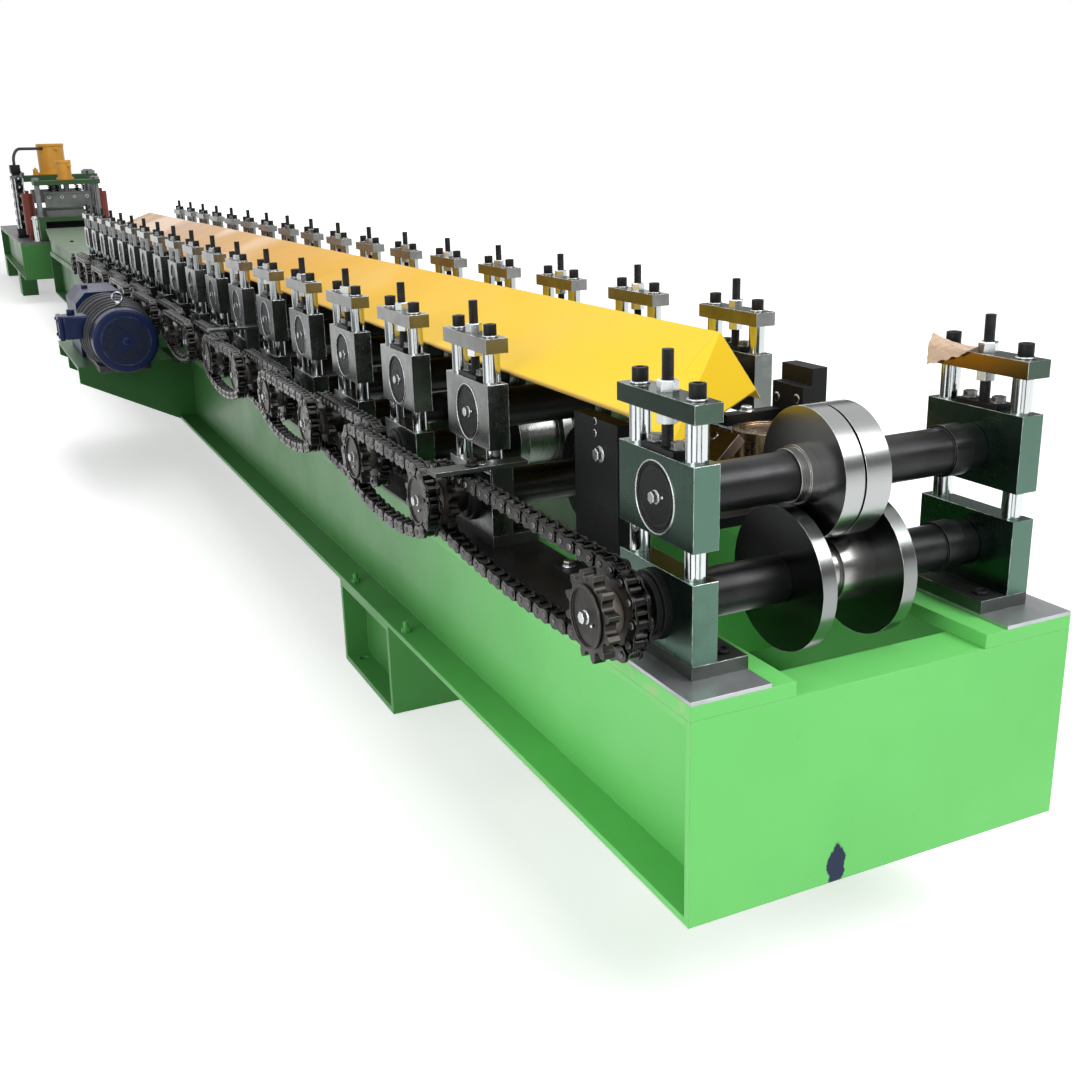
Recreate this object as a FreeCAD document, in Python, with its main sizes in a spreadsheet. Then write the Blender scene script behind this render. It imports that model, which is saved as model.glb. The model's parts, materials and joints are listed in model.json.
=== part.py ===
# Roll forming machine: a long green bed with eighteen pairs of bearing stands, roll shafts,
# chain drive, motor, sheet cover and run-out table, and two presses on a bed of their own.
# Millimetres. +X is the near (entry) end, +Z is up, the chains are on the -Y side.
# The origin is on the floor, under the middle of the front sleeper.
import FreeCAD
import Part
import Sketcher
import math
import os
import re
from FreeCAD import Vector

doc = FreeCAD.newDocument("roll_former")
sheet = doc.addObject("Spreadsheet::Sheet", "Sizes")

sizes = [
    # bed
    ("bed_length", 10000), ("bed_width", 690), ("beam_depth", 320), ("beam_flange", 150),
    ("beam_flange_thick", 12), ("beam_web", 10), ("end_plate_thick", 12),
    ("rail_width", 172), ("rail_thick", 23), ("lip_width", 70),
    ("sleeper_length", 385), ("sleeper_height", 225), ("sleeper_plate", 14), ("sleeper_recess", 60),
    ("front_overhang", 1315), ("sleeper_two", 5093), ("sleeper_three", 6693),
    ("sleeper_bolt_x", 285), ("sleeper_bolt_y", 620), ("sleeper_bolt_bore", 24),
    ("cross_member_depth", 180), ("cross_member_thick", 12), ("cross_member_count", 6),
    ("wear_strip_width", 130), ("wear_strip_thick", 6),
    # stands
    ("station_pitch", 400), ("first_pitch", 687), ("station_count", 18), ("first_station", 157),
    ("stand_face", 308), ("block_thick", 41), ("block_length", 201),
    ("foot_width", 93), ("foot_thick", 21), ("foot_bolt_bore", 18), ("foot_bolt_offset", 72),
    ("lower_block_height", 119), ("block_gap", 44), ("upper_block_height", 120), ("cap_gap", 56),
    ("cap_height", 27), ("cap_overhang", 3), ("column_bore", 32), ("column_offset", 75),
    ("screw_bore", 18), ("screw_above_cap", 60), ("retainer_length", 86), ("retainer_width", 36),
    ("retainer_thick", 8), ("slide_clearance", 0.1), ("fit_clearance", 0.05),
    # shafts and rolls
    ("lower_axis", 62), ("upper_axis", 56), ("journal_radius", 30), ("cap_radius", 52),
    ("cap_recess", 5), ("cap_plate", 3), ("lower_ring_out", 22), ("sleeve_radius", 37), ("end_play", 1),
    ("collar_radius", 41), ("collar_length", 34), ("collar_gap", 30),
    ("lower_disc_radius", 111.5), ("lower_disc_left", 97), ("lower_disc_right", 73),
    ("lower_disc_width", 24.5), ("lower_waist", 46), ("lower_step", 52), ("lower_step_start", 12),
    ("upper_disc_radius", 100), ("upper_disc_left", 57), ("upper_disc_right", 24),
    ("upper_disc_split", 33), ("disc_slot", 4), ("slot_depth", 26),
    ("hub_radius", 41), ("hub_step", 3.5), ("hub_length", 31),
    ("later_half_width", 38), ("later_growth", 0.8), ("later_upper_radius", 80),
    ("later_crown_step", 4), ("later_strip", 3), ("later_side", 4), ("later_cheek", 22),
    ("later_hub", 8), ("later_lower_radius", 100),
    # drive
    ("chain_pitch", 31.75), ("sprocket_teeth", 12), ("tooth_tip", 67), ("tooth_tip_share", 0.12),
    ("pocket_mouth_share", 0.98), ("sprocket_thick", 18),
    ("inner_chain", 366), ("outer_chain", 408), ("sprocket_hub", 32), ("roller_radius", 9.5),
    ("link_half_height", 12.5), ("link_plate", 6), ("link_inner_gap", 18.6), ("chain_sag", 22),
    ("chain_pin", 5), ("drive_journal", 22),
    ("tie_bar_length", 180), ("tie_bar_width", 40), ("tie_bar_thick", 8), ("tie_bar_overhang", 122),
    ("tie_bar_leg", 69), ("first_bar_lift", 20), ("second_bar_lift", 40), ("second_bar_station", 7),
    # guides between the first stations
    ("guide_plate_length", 150), ("guide_plate_height", 268), ("guide_plate_thick", 30),
    ("guide_plate_from_end", 415), ("guide_plate_offset", 195),
    ("guide_foot_thick", 14), ("guide_foot_width", 78), ("guide_block_length", 89),
    ("guide_block_height", 325), ("guide_block_step", 31), ("guide_front_thick", 19),
    ("guide_rear_thick", 32), ("guide_block_from_end", 467), ("guide_block_offset", 175),
    ("guide_arm_width", 26), ("guide_arm_reach", 115), ("guide_arm_thick", 20),
    ("guide_arm_rise", 226), ("guide_base_length", 189), ("guide_base_reach", 250),
    ("guide_base_thick", 18), ("guide_base_rise", 98), ("guide_post_start", 129),
    ("guide_post_width", 30), ("guide_post_left", 62), ("guide_post_thick", 20),
    ("guide_post_height", 100), ("guide_bar_start", 94), ("guide_bar_length", 105),
    ("guide_bar_width", 60), ("guide_bar_thick", 17), ("guide_bar_left", 65),
    ("guide_bar_rise", 203), ("guide_bar_angle", 43),
    ("guide_roller_radius", 60), ("guide_roller_height", 110), ("guide_roller_start", 89),
    ("guide_roller_offset", 100), ("guide_roller_foot", 22), ("guide_roller_lift", 6),
    ("guide_roller_rim", 12), ("guide_roller_dish", 4),
    # cover
    ("cover_thick", 3), ("ridge_height", 755), ("eaves_height", 667), ("cover_half_width", 250),
    ("ridge_from_end", 465), ("eaves_from_end", 339), ("cover_seam", 5000), ("cover_end", 6600),
    ("cover_overlap", 250), ("flap_length", 128), ("flap_drop", 26), ("side_fall", 99),
    ("side_reach", 60), ("side_lead", 20), ("lip_fall", 22), ("lip_reach", 30),
    ("rest_length", 40), ("rest_height", 30), ("rest_overlap", 8), ("arm_width", 30), ("arm_thick", 8),
    ("arm_shift", 45),
    # motor drive
    ("bracket_from_end", 4050), ("bracket_length", 900), ("bracket_reach", 380),
    ("bracket_outer_low", 189), ("bracket_outer_high", 240), ("bracket_plate", 14),
    ("motor_from_end", 3700), ("motor_offset", 565), ("motor_axis_height", 136), ("motor_radius", 130),
    ("motor_length", 500), ("motor_foot_width", 200), ("motor_foot_height", 76),
    ("fan_cover_radius", 122), ("fan_cover_length", 110), ("adapter_radius", 112), ("adapter_thick", 22),
    ("gearbox_length", 420), ("gearbox_width", 228), ("gearbox_height", 270),
    ("gearbox_shaft", 36), ("gearbox_chamfer", 45), ("shaft_gap", 22),
    ("terminal_length", 120), ("terminal_width", 95), ("terminal_height", 92), ("terminal_rise", 38),
    ("terminal_setback", 125),
    # run-out table
    ("table_side_height", 76), ("table_side_thick", 10), ("table_thick", 8), ("table_from_end", 7520),
    ("table_near_half", 330), ("table_far_half", 252), ("table_rise", 32), ("table_gap", 1440),
    ("table_overlap", 40), ("table_rest_half", 200),
    # press bed and presses
    ("press_bed_length", 3800), ("press_bed_width", 980), ("press_sleeper_length", 385),
    ("press_sleeper_width", 150), ("press_sleeper_setback", 880), ("press_sleeper_spacing", 2560),
    ("deck_stand_width", 60),
    ("shear_from_bed_end", 60), ("shear_length", 300), ("shear_width", 590), ("shear_deck_height", 175),
    ("shear_deck_thick", 40), ("shear_head_height", 290), ("shear_head_thick", 40),
    ("shear_post_radius", 17), ("shear_post_inset", 32),
    ("shear_lower_die", 56), ("shear_die_width", 410), ("shear_die_length", 120),
    ("shear_throat", 8), ("shear_upper_die", 143), ("shear_ram_radius", 26), ("shear_stroke", 20),
    ("shear_cylinder_radius", 64), ("shear_cylinder_height", 181), ("shear_cylinder_end", 30),
    ("shear_ram_reach", 100),
    ("punch_from_bed_end", 1150), ("punch_length", 560), ("punch_width", 800), ("punch_deck_height", 120),
    ("punch_deck_thick", 60), ("punch_head_height", 347), ("punch_head_thick", 60),
    ("punch_post_radius", 28), ("punch_post_inset", 60), ("punch_lower_die", 80),
    ("punch_die_width", 480), ("punch_die_length", 300), ("punch_throat", 30),
    ("punch_upper_die", 130), ("punch_ram_radius", 60), ("punch_stroke", 24),
    ("punch_cylinder_radius", 130), ("punch_cylinder_height", 303), ("punch_cylinder_end", 50),
    ("punch_ram_reach", 160),
    ("side_cylinder_radius", 55), ("side_cylinder_height", 382), ("side_cylinder_offset", 338),
    ("side_cylinder_foot", 33), ("side_cylinder_lift", 45), ("side_cylinder_gap", 160),
    ("valve_width", 127), ("valve_length", 300), ("valve_height", 695), ("valve_offset", 324),
    ("hose_radius", 14), ("hose_bend", 120), ("hose_drop", 45),
]
for line, (alias, number) in enumerate(sizes, start=1):
    sheet.set("A%d" % line, alias)
    sheet.set("B%d" % line, str(number))
    sheet.setAlias("B%d" % line, alias)
doc.recompute()
aliases = [alias for alias, number in sizes]


def size(alias):
    """The number in one cell of the sheet."""
    return float(getattr(sheet, alias))


def cells(text):
    """An expression with each alias pointed at the sheet."""
    return re.sub(r"[a-z_]+", lambda word: "Sizes." + word.group(0) if word.group(0) in aliases
                  else word.group(0), text)


def tie(thing, links):
    """Bind properties of an object to expressions."""
    for prop, text in links.items():
        thing.setExpression(prop, cells(text))
    return thing


def put(thing, corner):
    """Bind where an object stands."""
    return tie(thing, {"Placement.Base." + axis: text for axis, text in zip("xyz", corner)})


def box(label, extent, corner):
    thing = doc.addObject("Part::Box", label)
    tie(thing, dict(zip(("Length", "Width", "Height"), extent)))
    return put(thing, corner)


turns = {"Z": FreeCAD.Rotation(), "Y": FreeCAD.Rotation(Vector(1, 0, 0), -90),
         "X": FreeCAD.Rotation(Vector(0, 1, 0), 90)}


def rod(label, radius, length, foot, along="Z"):
    thing = doc.addObject("Part::Cylinder", label)
    thing.Placement.Rotation = turns[along]
    tie(thing, {"Radius": radius, "Height": length})
    return put(thing, foot)


def fuse(label, pieces):
    thing = doc.addObject("Part::MultiFuse", label)
    thing.Shapes = pieces
    return thing


def cut(label, base, tools):
    thing = doc.addObject("Part::Cut", label)
    thing.Base = base
    thing.Tool = tools[0] if len(tools) == 1 else fuse(label + "_tools", tools)
    return thing


def outline(body, label, plane, points):
    """A sketch of straight lines whose corners are bound to expressions."""
    sketch = body.newObject("Sketcher::SketchObject", label + "_outline")
    support = [item for item in body.Origin.OriginFeatures if item.Role == plane][0]
    sketch.AttachmentSupport = [(support, "")]
    sketch.MapMode = "FlatFace"
    # rough corners on a circle keep every line a real one until the sizes take hold
    count = len(points)
    rough = [Vector(math.cos(2 * math.pi * k / count), math.sin(2 * math.pi * k / count), 0)
             for k in range(count)]
    for k in range(count):
        sketch.addGeometry(Part.LineSegment(rough[k], rough[(k + 1) % count]), False)
    for k in range(count):
        sketch.addConstraint(Sketcher.Constraint("Coincident", k, 2, (k + 1) % count, 1))
    for k, corner in enumerate(points):
        for kind, text in zip(("DistanceX", "DistanceY"), corner):
            value = rough[k].x if kind == "DistanceX" else rough[k].y
            place = sketch.addConstraint(Sketcher.Constraint(kind, -1, 1, k, 1, value))
            sketch.setExpression("Constraints[%d]" % place, cells(text))
    return sketch


def section(label, plane, points, length):
    """A body padded from a closed outline."""
    body = doc.addObject("PartDesign::Body", label)
    sketch = outline(body, label, plane, points)
    pad = body.newObject("PartDesign::Pad", label + "_pad")
    pad.Profile = sketch
    tie(pad, {"Length": length})
    sketch.Visibility = False
    return body


def turned(label, points):
    """A body turned about the Y axis from (radius, along) corners."""
    body = doc.addObject("PartDesign::Body", label)
    sketch = outline(body, label, "XY_Plane", points)
    spin = body.newObject("PartDesign::Revolution", label + "_turn")
    spin.Profile = sketch
    spin.ReferenceAxis = (sketch, ["V_Axis"])
    spin.Angle = 360
    sketch.Visibility = False
    return body


parts = {}


def keep(node, thing):
    """One object becomes one node of the machine."""
    parts[node] = thing
    return thing


def copies(node, master, places):
    """A node of equal solids, one at each place."""
    doc.recompute()
    thing = doc.addObject("Part::Feature", node)
    shapes = []
    for place in places:
        shape = master.Shape.copy()
        shape.translate(place)
        shapes.append(shape)
    thing.Shape = Part.makeCompound(shapes)
    return keep(node, thing)


def joined(node, shapes):
    """A node whose solids are worked out in code."""
    thing = doc.addObject("Part::Feature", node)
    thing.Shape = Part.makeCompound(shapes)
    return keep(node, thing)


def group(node, pieces):
    """A node that holds several finished objects as separate solids."""
    doc.recompute()
    return joined(node, [piece.Shape.copy() for piece in pieces])


# Heights and lengths that many pieces share, as expressions.
x_end = "(front_overhang + sleeper_length / 2)"
z_beam = "sleeper_height"
z_rail = "(sleeper_height + beam_depth)"
z_wear = "(sleeper_height + beam_depth + rail_thick)"
z_foot = "(sleeper_height + beam_depth + rail_thick + wear_strip_thick)"
z_lower = "(sleeper_height + beam_depth + rail_thick + wear_strip_thick + foot_thick)"
z_lower_top = "(%s + lower_block_height)" % z_lower
z_upper = "(%s + block_gap)" % z_lower_top
z_upper_top = "(%s + upper_block_height)" % z_upper
z_cap = "(%s + cap_gap)" % z_upper_top
z_cap_top = "(%s + cap_height)" % z_cap
z_low_axis = "(%s + lower_axis)" % z_lower
z_high_axis = "(%s + upper_axis)" % z_upper
x_first = "(%s - first_station)" % x_end

x_end_value = size("front_overhang") + size("sleeper_length") / 2
stations = int(size("station_count"))
half_face = size("stand_face")


def station_x(number):
    """Where a station's shafts lie, counted from 1 at the near end."""
    first = x_end_value - size("first_station")
    if number == 1:
        return first
    return first - size("first_pitch") - (number - 2) * size("station_pitch")


def from_first(number, y=0.0, z=0.0):
    return Vector(station_x(number) - station_x(1), y, z)


later = list(range(2, stations + 1))


# Bed: two I-beams, rails on them, end plates, cross members and sleepers
def beam_corners(width, side):
    """The outline of an I-beam in the YZ plane; side is -1 on the left and 1 on the right."""
    outer = "%s / 2" % width
    web = "(%s - beam_flange / 2 + beam_web / 2)" % outer
    web_in = "(%s - beam_flange / 2 - beam_web / 2)" % outer
    inner = "(%s - beam_flange)" % outer
    low = [(outer, "0"), (outer, "beam_flange_thick"), (web, "beam_flange_thick"),
           (web, "beam_depth - beam_flange_thick"), (outer, "beam_depth - beam_flange_thick"),
           (outer, "beam_depth"), (inner, "beam_depth"),
           (inner, "beam_depth - beam_flange_thick"), (web_in, "beam_depth - beam_flange_thick"),
           (web_in, "beam_flange_thick"), (inner, "beam_flange_thick"), (inner, "0")]
    return [("%d * (%s)" % (side, y), z) for y, z in low]


bed_run = "bed_length - 2 * end_plate_thick"
wear_run = "(first_pitch + station_pitch * (station_count - 2) + 2 * first_station)"
beams = []
rails = []
wear_strips = []
for side_name, side in (("left", -1), ("right", 1)):
    beam = section(side_name + "_bed_beam", "YZ_Plane", beam_corners("bed_width", side), bed_run)
    beams.append(put(beam, (x_end + " - bed_length + end_plate_thick", "0", z_beam)))
    rail_corner = "-bed_width / 2" if side < 0 else "bed_width / 2 - rail_width"
    rails.append(box(side_name + "_rail", ("bed_length", "rail_width", "rail_thick"),
                     (x_end + " - bed_length", rail_corner, z_rail)))
    wear_corner = "-bed_width / 2" if side < 0 else "bed_width / 2 - wear_strip_width"
    wear_strips.append(box(side_name + "_wear_strip",
                           (wear_run, "wear_strip_width", "wear_strip_thick"),
                           (x_end + " - " + wear_run, wear_corner, z_wear)))
end_plates = [box(plate_name, ("end_plate_thick", "bed_width", "beam_depth"),
                  (corner, "-bed_width / 2", z_beam))
              for plate_name, corner in (("near_end_plate", x_end + " - end_plate_thick"),
                                         ("far_end_plate", x_end + " - bed_length"))]
group("rails", rails)
group("wear_strips", wear_strips)

lip = box("well_lip_piece", ("lip_width", "bed_width - 2 * beam_flange", "end_plate_thick"),
          (x_end + " - end_plate_thick - lip_width", "-(bed_width / 2 - beam_flange)",
           z_rail + " - end_plate_thick"))
cross_gap = "bed_width - beam_flange - beam_web"
cross = box("cross_member_piece", ("cross_member_thick", cross_gap, "cross_member_depth"),
            (x_end + " - front_overhang / 2", "-(" + cross_gap + ") / 2",
             z_beam + " + (beam_depth - cross_member_depth) / 2"))
doc.recompute()
cross_count = int(size("cross_member_count"))
cross_step = size("bed_length") / cross_count
cross_members = [lip.Shape.copy()]
for number in range(cross_count):
    member = cross.Shape.copy()
    member.translate(Vector(-number * cross_step, 0, 0))
    cross_members.append(member)
joined("cross_members", cross_members)

# a sleeper is a closed box whose open ends show a recessed web
sleeper_shell = box("sleeper_block", ("sleeper_length", "bed_width", "sleeper_height"),
                    ("-sleeper_length / 2", "-bed_width / 2", "0"))
sleeper_inside = ("sleeper_length - 2 * sleeper_plate", "sleeper_recess",
                  "sleeper_height - 2 * sleeper_plate")
recess_left = box("sleeper_recess_left", sleeper_inside,
                  ("sleeper_plate - sleeper_length / 2", "-bed_width / 2", "sleeper_plate"))
recess_right = box("sleeper_recess_right", sleeper_inside,
                   ("sleeper_plate - sleeper_length / 2", "bed_width / 2 - sleeper_recess",
                    "sleeper_plate"))
sleeper_bolts = [rod("sleeper_bolt_%d" % (k + 1), "sleeper_bolt_bore / 2", "sleeper_plate",
                     ("%d * sleeper_bolt_x / 2" % sx, "%d * sleeper_bolt_y / 2" % sy, "0"))
                 for k, (sx, sy) in enumerate(((-1, -1), (-1, 1), (1, -1), (1, 1)))]
sleeper = cut("sleeper_piece", sleeper_shell, [recess_left, recess_right] + sleeper_bolts)
doc.recompute()
sleepers = []
for back in (0, size("sleeper_two"), size("sleeper_three")):
    piece = sleeper.Shape.copy()
    piece.translate(Vector(-back, 0, 0))
    sleepers.append(piece)

# Stands: foot plate, lower block, columns, upper block, cap plate, screw. Left ones first.
left_y = "-stand_face"
foot_box = box("foot_box", ("block_length", "foot_width", "foot_thick"),
               (x_first + " - block_length / 2", left_y, z_foot))
foot_bores = [rod("foot_bore_%d" % (k + 1), "foot_bolt_bore / 2", "foot_thick",
                  (x_first + " + %d * foot_bolt_offset" % sx,
                   left_y + " + block_thick + (foot_width - block_thick) / 2", z_foot))
              for k, sx in enumerate((-1, 1))]
foot = cut("stand_foot", foot_box, foot_bores)


def bearing_block(label, z_bottom, height, z_axis, holes):
    """A plain block with a shaft bore, a cap recess on its outer face, and column holes."""
    body = box(label + "_box", ("block_length", "block_thick", height),
               (x_first + " - block_length / 2", left_y, z_bottom))
    bore = rod(label + "_bore", "journal_radius + fit_clearance", "block_thick",
               (x_first, left_y, z_axis), "Y")
    recess = rod(label + "_recess", "cap_radius", "cap_recess", (x_first, left_y, z_axis), "Y")
    tools = [bore, recess]
    if holes:
        for k, sx in enumerate((-1, 1)):
            tools.append(rod(label + "_hole_%d" % (k + 1), "column_bore / 2 + slide_clearance", height,
                             (x_first + " + %d * column_offset" % sx, left_y + " + block_thick / 2",
                              z_bottom)))
    return cut(label, body, tools)


lower_block = bearing_block("lower_block", z_lower, "lower_block_height", z_low_axis, False)
upper_block = bearing_block("upper_block", z_upper, "upper_block_height", z_high_axis, True)
cap_box = box("cap_box", ("block_length + 2 * cap_overhang", "block_thick + cap_overhang", "cap_height"),
              (x_first + " - block_length / 2 - cap_overhang", left_y + " - cap_overhang / 2", z_cap))
cap = cut("stand_cap", cap_box, [rod("cap_screw_hole", "screw_bore / 2 + slide_clearance", "cap_height",
                                     (x_first, left_y + " + block_thick / 2", z_cap))])
columns = [rod("column_%d" % (k + 1), "column_bore / 2",
               "block_gap + upper_block_height + cap_gap",
               (x_first + " + %d * column_offset" % sx, left_y + " + block_thick / 2", z_lower_top))
           for k, sx in enumerate((-1, 1))]
screw = rod("adjusting_screw", "screw_bore / 2", "cap_gap + cap_height + screw_above_cap",
            (x_first, left_y + " + block_thick / 2", z_upper_top))
retainer_box = box("retainer_box", ("retainer_length", "retainer_width", "retainer_thick"),
                   (x_first + " - retainer_length / 2",
                    left_y + " + (block_thick - retainer_width) / 2", z_upper_top))
retainer = cut("screw_retainer", retainer_box,
               [rod("retainer_hole", "screw_bore / 2 + fit_clearance", "retainer_thick",
                    (x_first, left_y + " + block_thick / 2", z_upper_top))])
doc.recompute()


def mirrored(shape):
    """The same piece on the other side of the machine's middle plane."""
    return shape.mirror(Vector(0, 0, 0), Vector(0, 1, 0))


def both(node, masters, numbers):
    """A node that repeats some masters at the stations, on the left side and the right."""
    shapes = []
    for number in numbers:
        for master in masters:
            left = master.Shape.copy()
            left.translate(from_first(number))
            shapes.append(left)
            shapes.append(mirrored(left))
    return joined(node, shapes)


every = [1] + later
both("stand_feet", [foot], every)
both("lower_blocks", [lower_block], every)
both("upper_blocks", [upper_block], later)
both("front_upper_blocks", [upper_block], [1])
both("columns", columns, every)
both("cap_plates", [cap], every)
both("adjusting_screws", [screw], later)
both("front_adjusting_screws", [screw], [1])
both("screw_retainers", [retainer], later)
both("front_screw_retainers", [retainer], [1])

# bearing caps: a thin disc in the outer recess of each block; the left lower ones are collars
# that stand out round the sprocket hubs
upper_cap = rod("upper_cap", "cap_radius - 2 * slide_clearance", "cap_plate",
                (x_first, left_y, z_high_axis), "Y")
lower_cap_disc = rod("lower_cap_disc", "cap_radius - 2 * slide_clearance", "cap_plate",
                     (x_first, left_y, z_low_axis), "Y")
lower_ring_length = "cap_recess + lower_ring_out"
lower_ring_y = left_y + " - lower_ring_out"
lower_cap_ring = rod("lower_cap_ring", "cap_radius - 2 * slide_clearance", lower_ring_length,
                     (x_first, lower_ring_y, z_low_axis), "Y")
lower_cap_bore = rod("lower_cap_bore", "sprocket_hub + end_play", lower_ring_length,
                     (x_first, lower_ring_y, z_low_axis), "Y")
lower_cap = cut("lower_cap", lower_cap_ring, [lower_cap_bore])
doc.recompute()
cap_shapes = []
for number in later:
    for master, side in ((upper_cap, "both"), (lower_cap, "left"), (lower_cap_disc, "right")):
        piece = master.Shape.copy()
        piece.translate(from_first(number))
        if side != "right":
            cap_shapes.append(piece)
        if side != "left":
            cap_shapes.append(mirrored(piece))
front_lower_right = mirrored(lower_cap_disc.Shape.copy())
joined("bearing_caps", cap_shapes + [lower_cap.Shape.copy(), front_lower_right])
both("front_bearing_caps", [upper_cap], [1])

# Shafts: a journal through both blocks with a thicker sleeve between them
journal_end = "(stand_face - cap_recess)"
sleeve_end = "(stand_face - block_thick - end_play)"
upper_shaft = turned("upper_shaft", [
    ("0", "-" + journal_end), ("journal_radius", "-" + journal_end),
    ("journal_radius", "-" + sleeve_end), ("sleeve_radius", "-" + sleeve_end),
    ("sleeve_radius", "(" + sleeve_end + " - collar_gap - collar_length)"),
    ("collar_radius", "(" + sleeve_end + " - collar_gap - collar_length)"),
    ("collar_radius", "(" + sleeve_end + " - collar_gap)"),
    ("sleeve_radius", "(" + sleeve_end + " - collar_gap)"),
    ("sleeve_radius", sleeve_end), ("journal_radius", sleeve_end),
    ("journal_radius", journal_end), ("0", journal_end)])
put(upper_shaft, (x_first, "0", z_high_axis))
drive_end = "(outer_chain + sprocket_thick / 2)"
lower_shaft = turned("lower_shaft", [
    ("0", "-" + drive_end), ("drive_journal", "-" + drive_end),
    ("drive_journal", "-stand_face"), ("journal_radius", "-stand_face"),
    ("journal_radius", "-" + sleeve_end), ("sleeve_radius", "-" + sleeve_end),
    ("sleeve_radius", "(" + sleeve_end + " - collar_gap - collar_length)"),
    ("collar_radius", "(" + sleeve_end + " - collar_gap - collar_length)"),
    ("collar_radius", "(" + sleeve_end + " - collar_gap)"),
    ("sleeve_radius", "(" + sleeve_end + " - collar_gap)"),
    ("sleeve_radius", sleeve_end), ("journal_radius", sleeve_end),
    ("journal_radius", journal_end), ("0", journal_end)])
put(lower_shaft, (x_first, "0", z_low_axis))
copies("upper_shafts", upper_shaft, [from_first(number) for number in later])
copies("lower_shafts", lower_shaft, [from_first(number) for number in later])
copies("front_upper_shaft", upper_shaft, [Vector(0, 0, 0)])
copies("front_lower_shaft", lower_shaft, [Vector(0, 0, 0)])

# Front rolls: discs on the sleeves, held apart and in place by turned spacers
seat = "(sleeve_radius + fit_clearance)"
front_upper_rolls = turned("front_upper_rolls", [
    (seat, "-upper_disc_left"), ("upper_disc_radius", "-upper_disc_left"),
    ("upper_disc_radius", "-upper_disc_left + upper_disc_split"),
    ("upper_disc_radius - slot_depth", "-upper_disc_left + upper_disc_split"),
    ("upper_disc_radius - slot_depth", "-upper_disc_left + upper_disc_split + disc_slot"),
    ("upper_disc_radius", "-upper_disc_left + upper_disc_split + disc_slot"),
    ("upper_disc_radius", "upper_disc_right"), (seat, "upper_disc_right")])
keep("front_upper_rolls", put(front_upper_rolls, (x_first, "0", z_high_axis)))
hub_outside = "-(upper_disc_left + hub_length)"
hub_middle = "-(upper_disc_left + hub_length / 2)"
upper_left_spacer = put(turned("upper_left_spacer", [
    (seat, hub_outside), ("hub_radius", hub_outside), ("hub_radius", hub_middle),
    ("hub_radius + hub_step", hub_middle), ("hub_radius + hub_step", "-upper_disc_left"),
    (seat, "-upper_disc_left")]), (x_first, "0", z_high_axis))
upper_right_spacer = put(turned("upper_right_spacer", [
    (seat, "upper_disc_right"), ("hub_radius", "upper_disc_right"),
    ("hub_radius", "upper_disc_right + hub_length"), (seat, "upper_disc_right + hub_length")]),
    (x_first, "0", z_high_axis))
lower_left_disc = put(turned("lower_left_disc", [
    (seat, "-lower_disc_left"), ("lower_disc_radius", "-lower_disc_left"),
    ("lower_disc_radius", "-lower_disc_left + lower_disc_width"),
    (seat, "-lower_disc_left + lower_disc_width")]), (x_first, "0", z_low_axis))
lower_right_disc = put(turned("lower_right_disc", [
    (seat, "lower_disc_right - lower_disc_width"),
    ("lower_disc_radius", "lower_disc_right - lower_disc_width"),
    ("lower_disc_radius", "lower_disc_right"), (seat, "lower_disc_right")]),
    (x_first, "0", z_low_axis))
lower_spacer = turned("front_lower_spacer", [
    (seat, "-lower_disc_left + lower_disc_width"),
    ("lower_waist", "-lower_disc_left + lower_disc_width"), ("lower_waist", "-lower_step_start"),
    ("lower_step", "-lower_step_start"), ("lower_step", "lower_disc_right - lower_disc_width"),
    (seat, "lower_disc_right - lower_disc_width")])
keep("front_lower_spacer", put(lower_spacer, (x_first, "0", z_low_axis)))
group("front_upper_spacers", [upper_left_spacer, upper_right_spacer])
group("front_lower_rolls", [lower_left_disc, lower_right_disc])

# Later rolls: the forming groove widens a little from station to station
def later_rolls(node, z_axis, corner_sets):
    shapes = []
    for number, corners in zip(later, corner_sets):
        edge = Part.makePolygon([Vector(r, y, 0) for r, y in corners + corners[:1]])
        roll = Part.Face(edge).revolve(Vector(0, 0, 0), Vector(0, 1, 0), 360)
        roll = Part.Solid(roll) if roll.ShapeType == "Shell" else roll
        roll.translate(Vector(station_x(number), 0, z_axis))
        shapes.append(roll)
    return joined(node, shapes)


z_lower_value = sum(size(name) for name in ("sleeper_height", "beam_depth", "rail_thick",
                                            "wear_strip_thick", "foot_thick"))
z_low_value = z_lower_value + size("lower_axis")
z_upper_value = z_lower_value + size("lower_block_height") + size("block_gap")
z_high_value = z_upper_value + size("upper_axis")
upper_sets = []
lower_sets = []
seat_radius = size("sleeve_radius") + size("fit_clearance")
nip = z_high_value - z_low_value - size("later_strip")
for number in later:
    half = size("later_half_width") + size("later_growth") * (number - 2)
    crown = size("later_upper_radius") - size("later_crown_step") * (number % 3)
    waist = nip - crown
    side = size("later_side")
    cheek = size("later_cheek")
    rim = size("later_lower_radius")
    hub = seat_radius + size("later_hub")
    upper_sets.append([(seat_radius, -half - cheek), (hub, -half - cheek), (hub, -half), (crown, -half),
                       (crown, half), (hub, half), (hub, half + cheek), (seat_radius, half + cheek)])
    inner = half + side
    lower_sets.append([(seat_radius, -inner - cheek), (rim, -inner - cheek), (rim, -inner),
                       (waist, -inner), (waist, inner), (rim, inner), (rim, inner + cheek),
                       (seat_radius, inner + cheek)])
later_rolls("upper_rolls", z_high_value, upper_sets)
later_rolls("lower_rolls", z_low_value, lower_sets)

# Sprockets: pockets for the rollers on the pitch circle, with pointed teeth between them
teeth = int(size("sprocket_teeth"))
pitch_radius = size("chain_pitch") / 2 / math.sin(math.pi / teeth)


def polar(radius, angle, y=0.0):
    return Vector(radius * math.sin(angle), y, radius * math.cos(angle))


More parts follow.
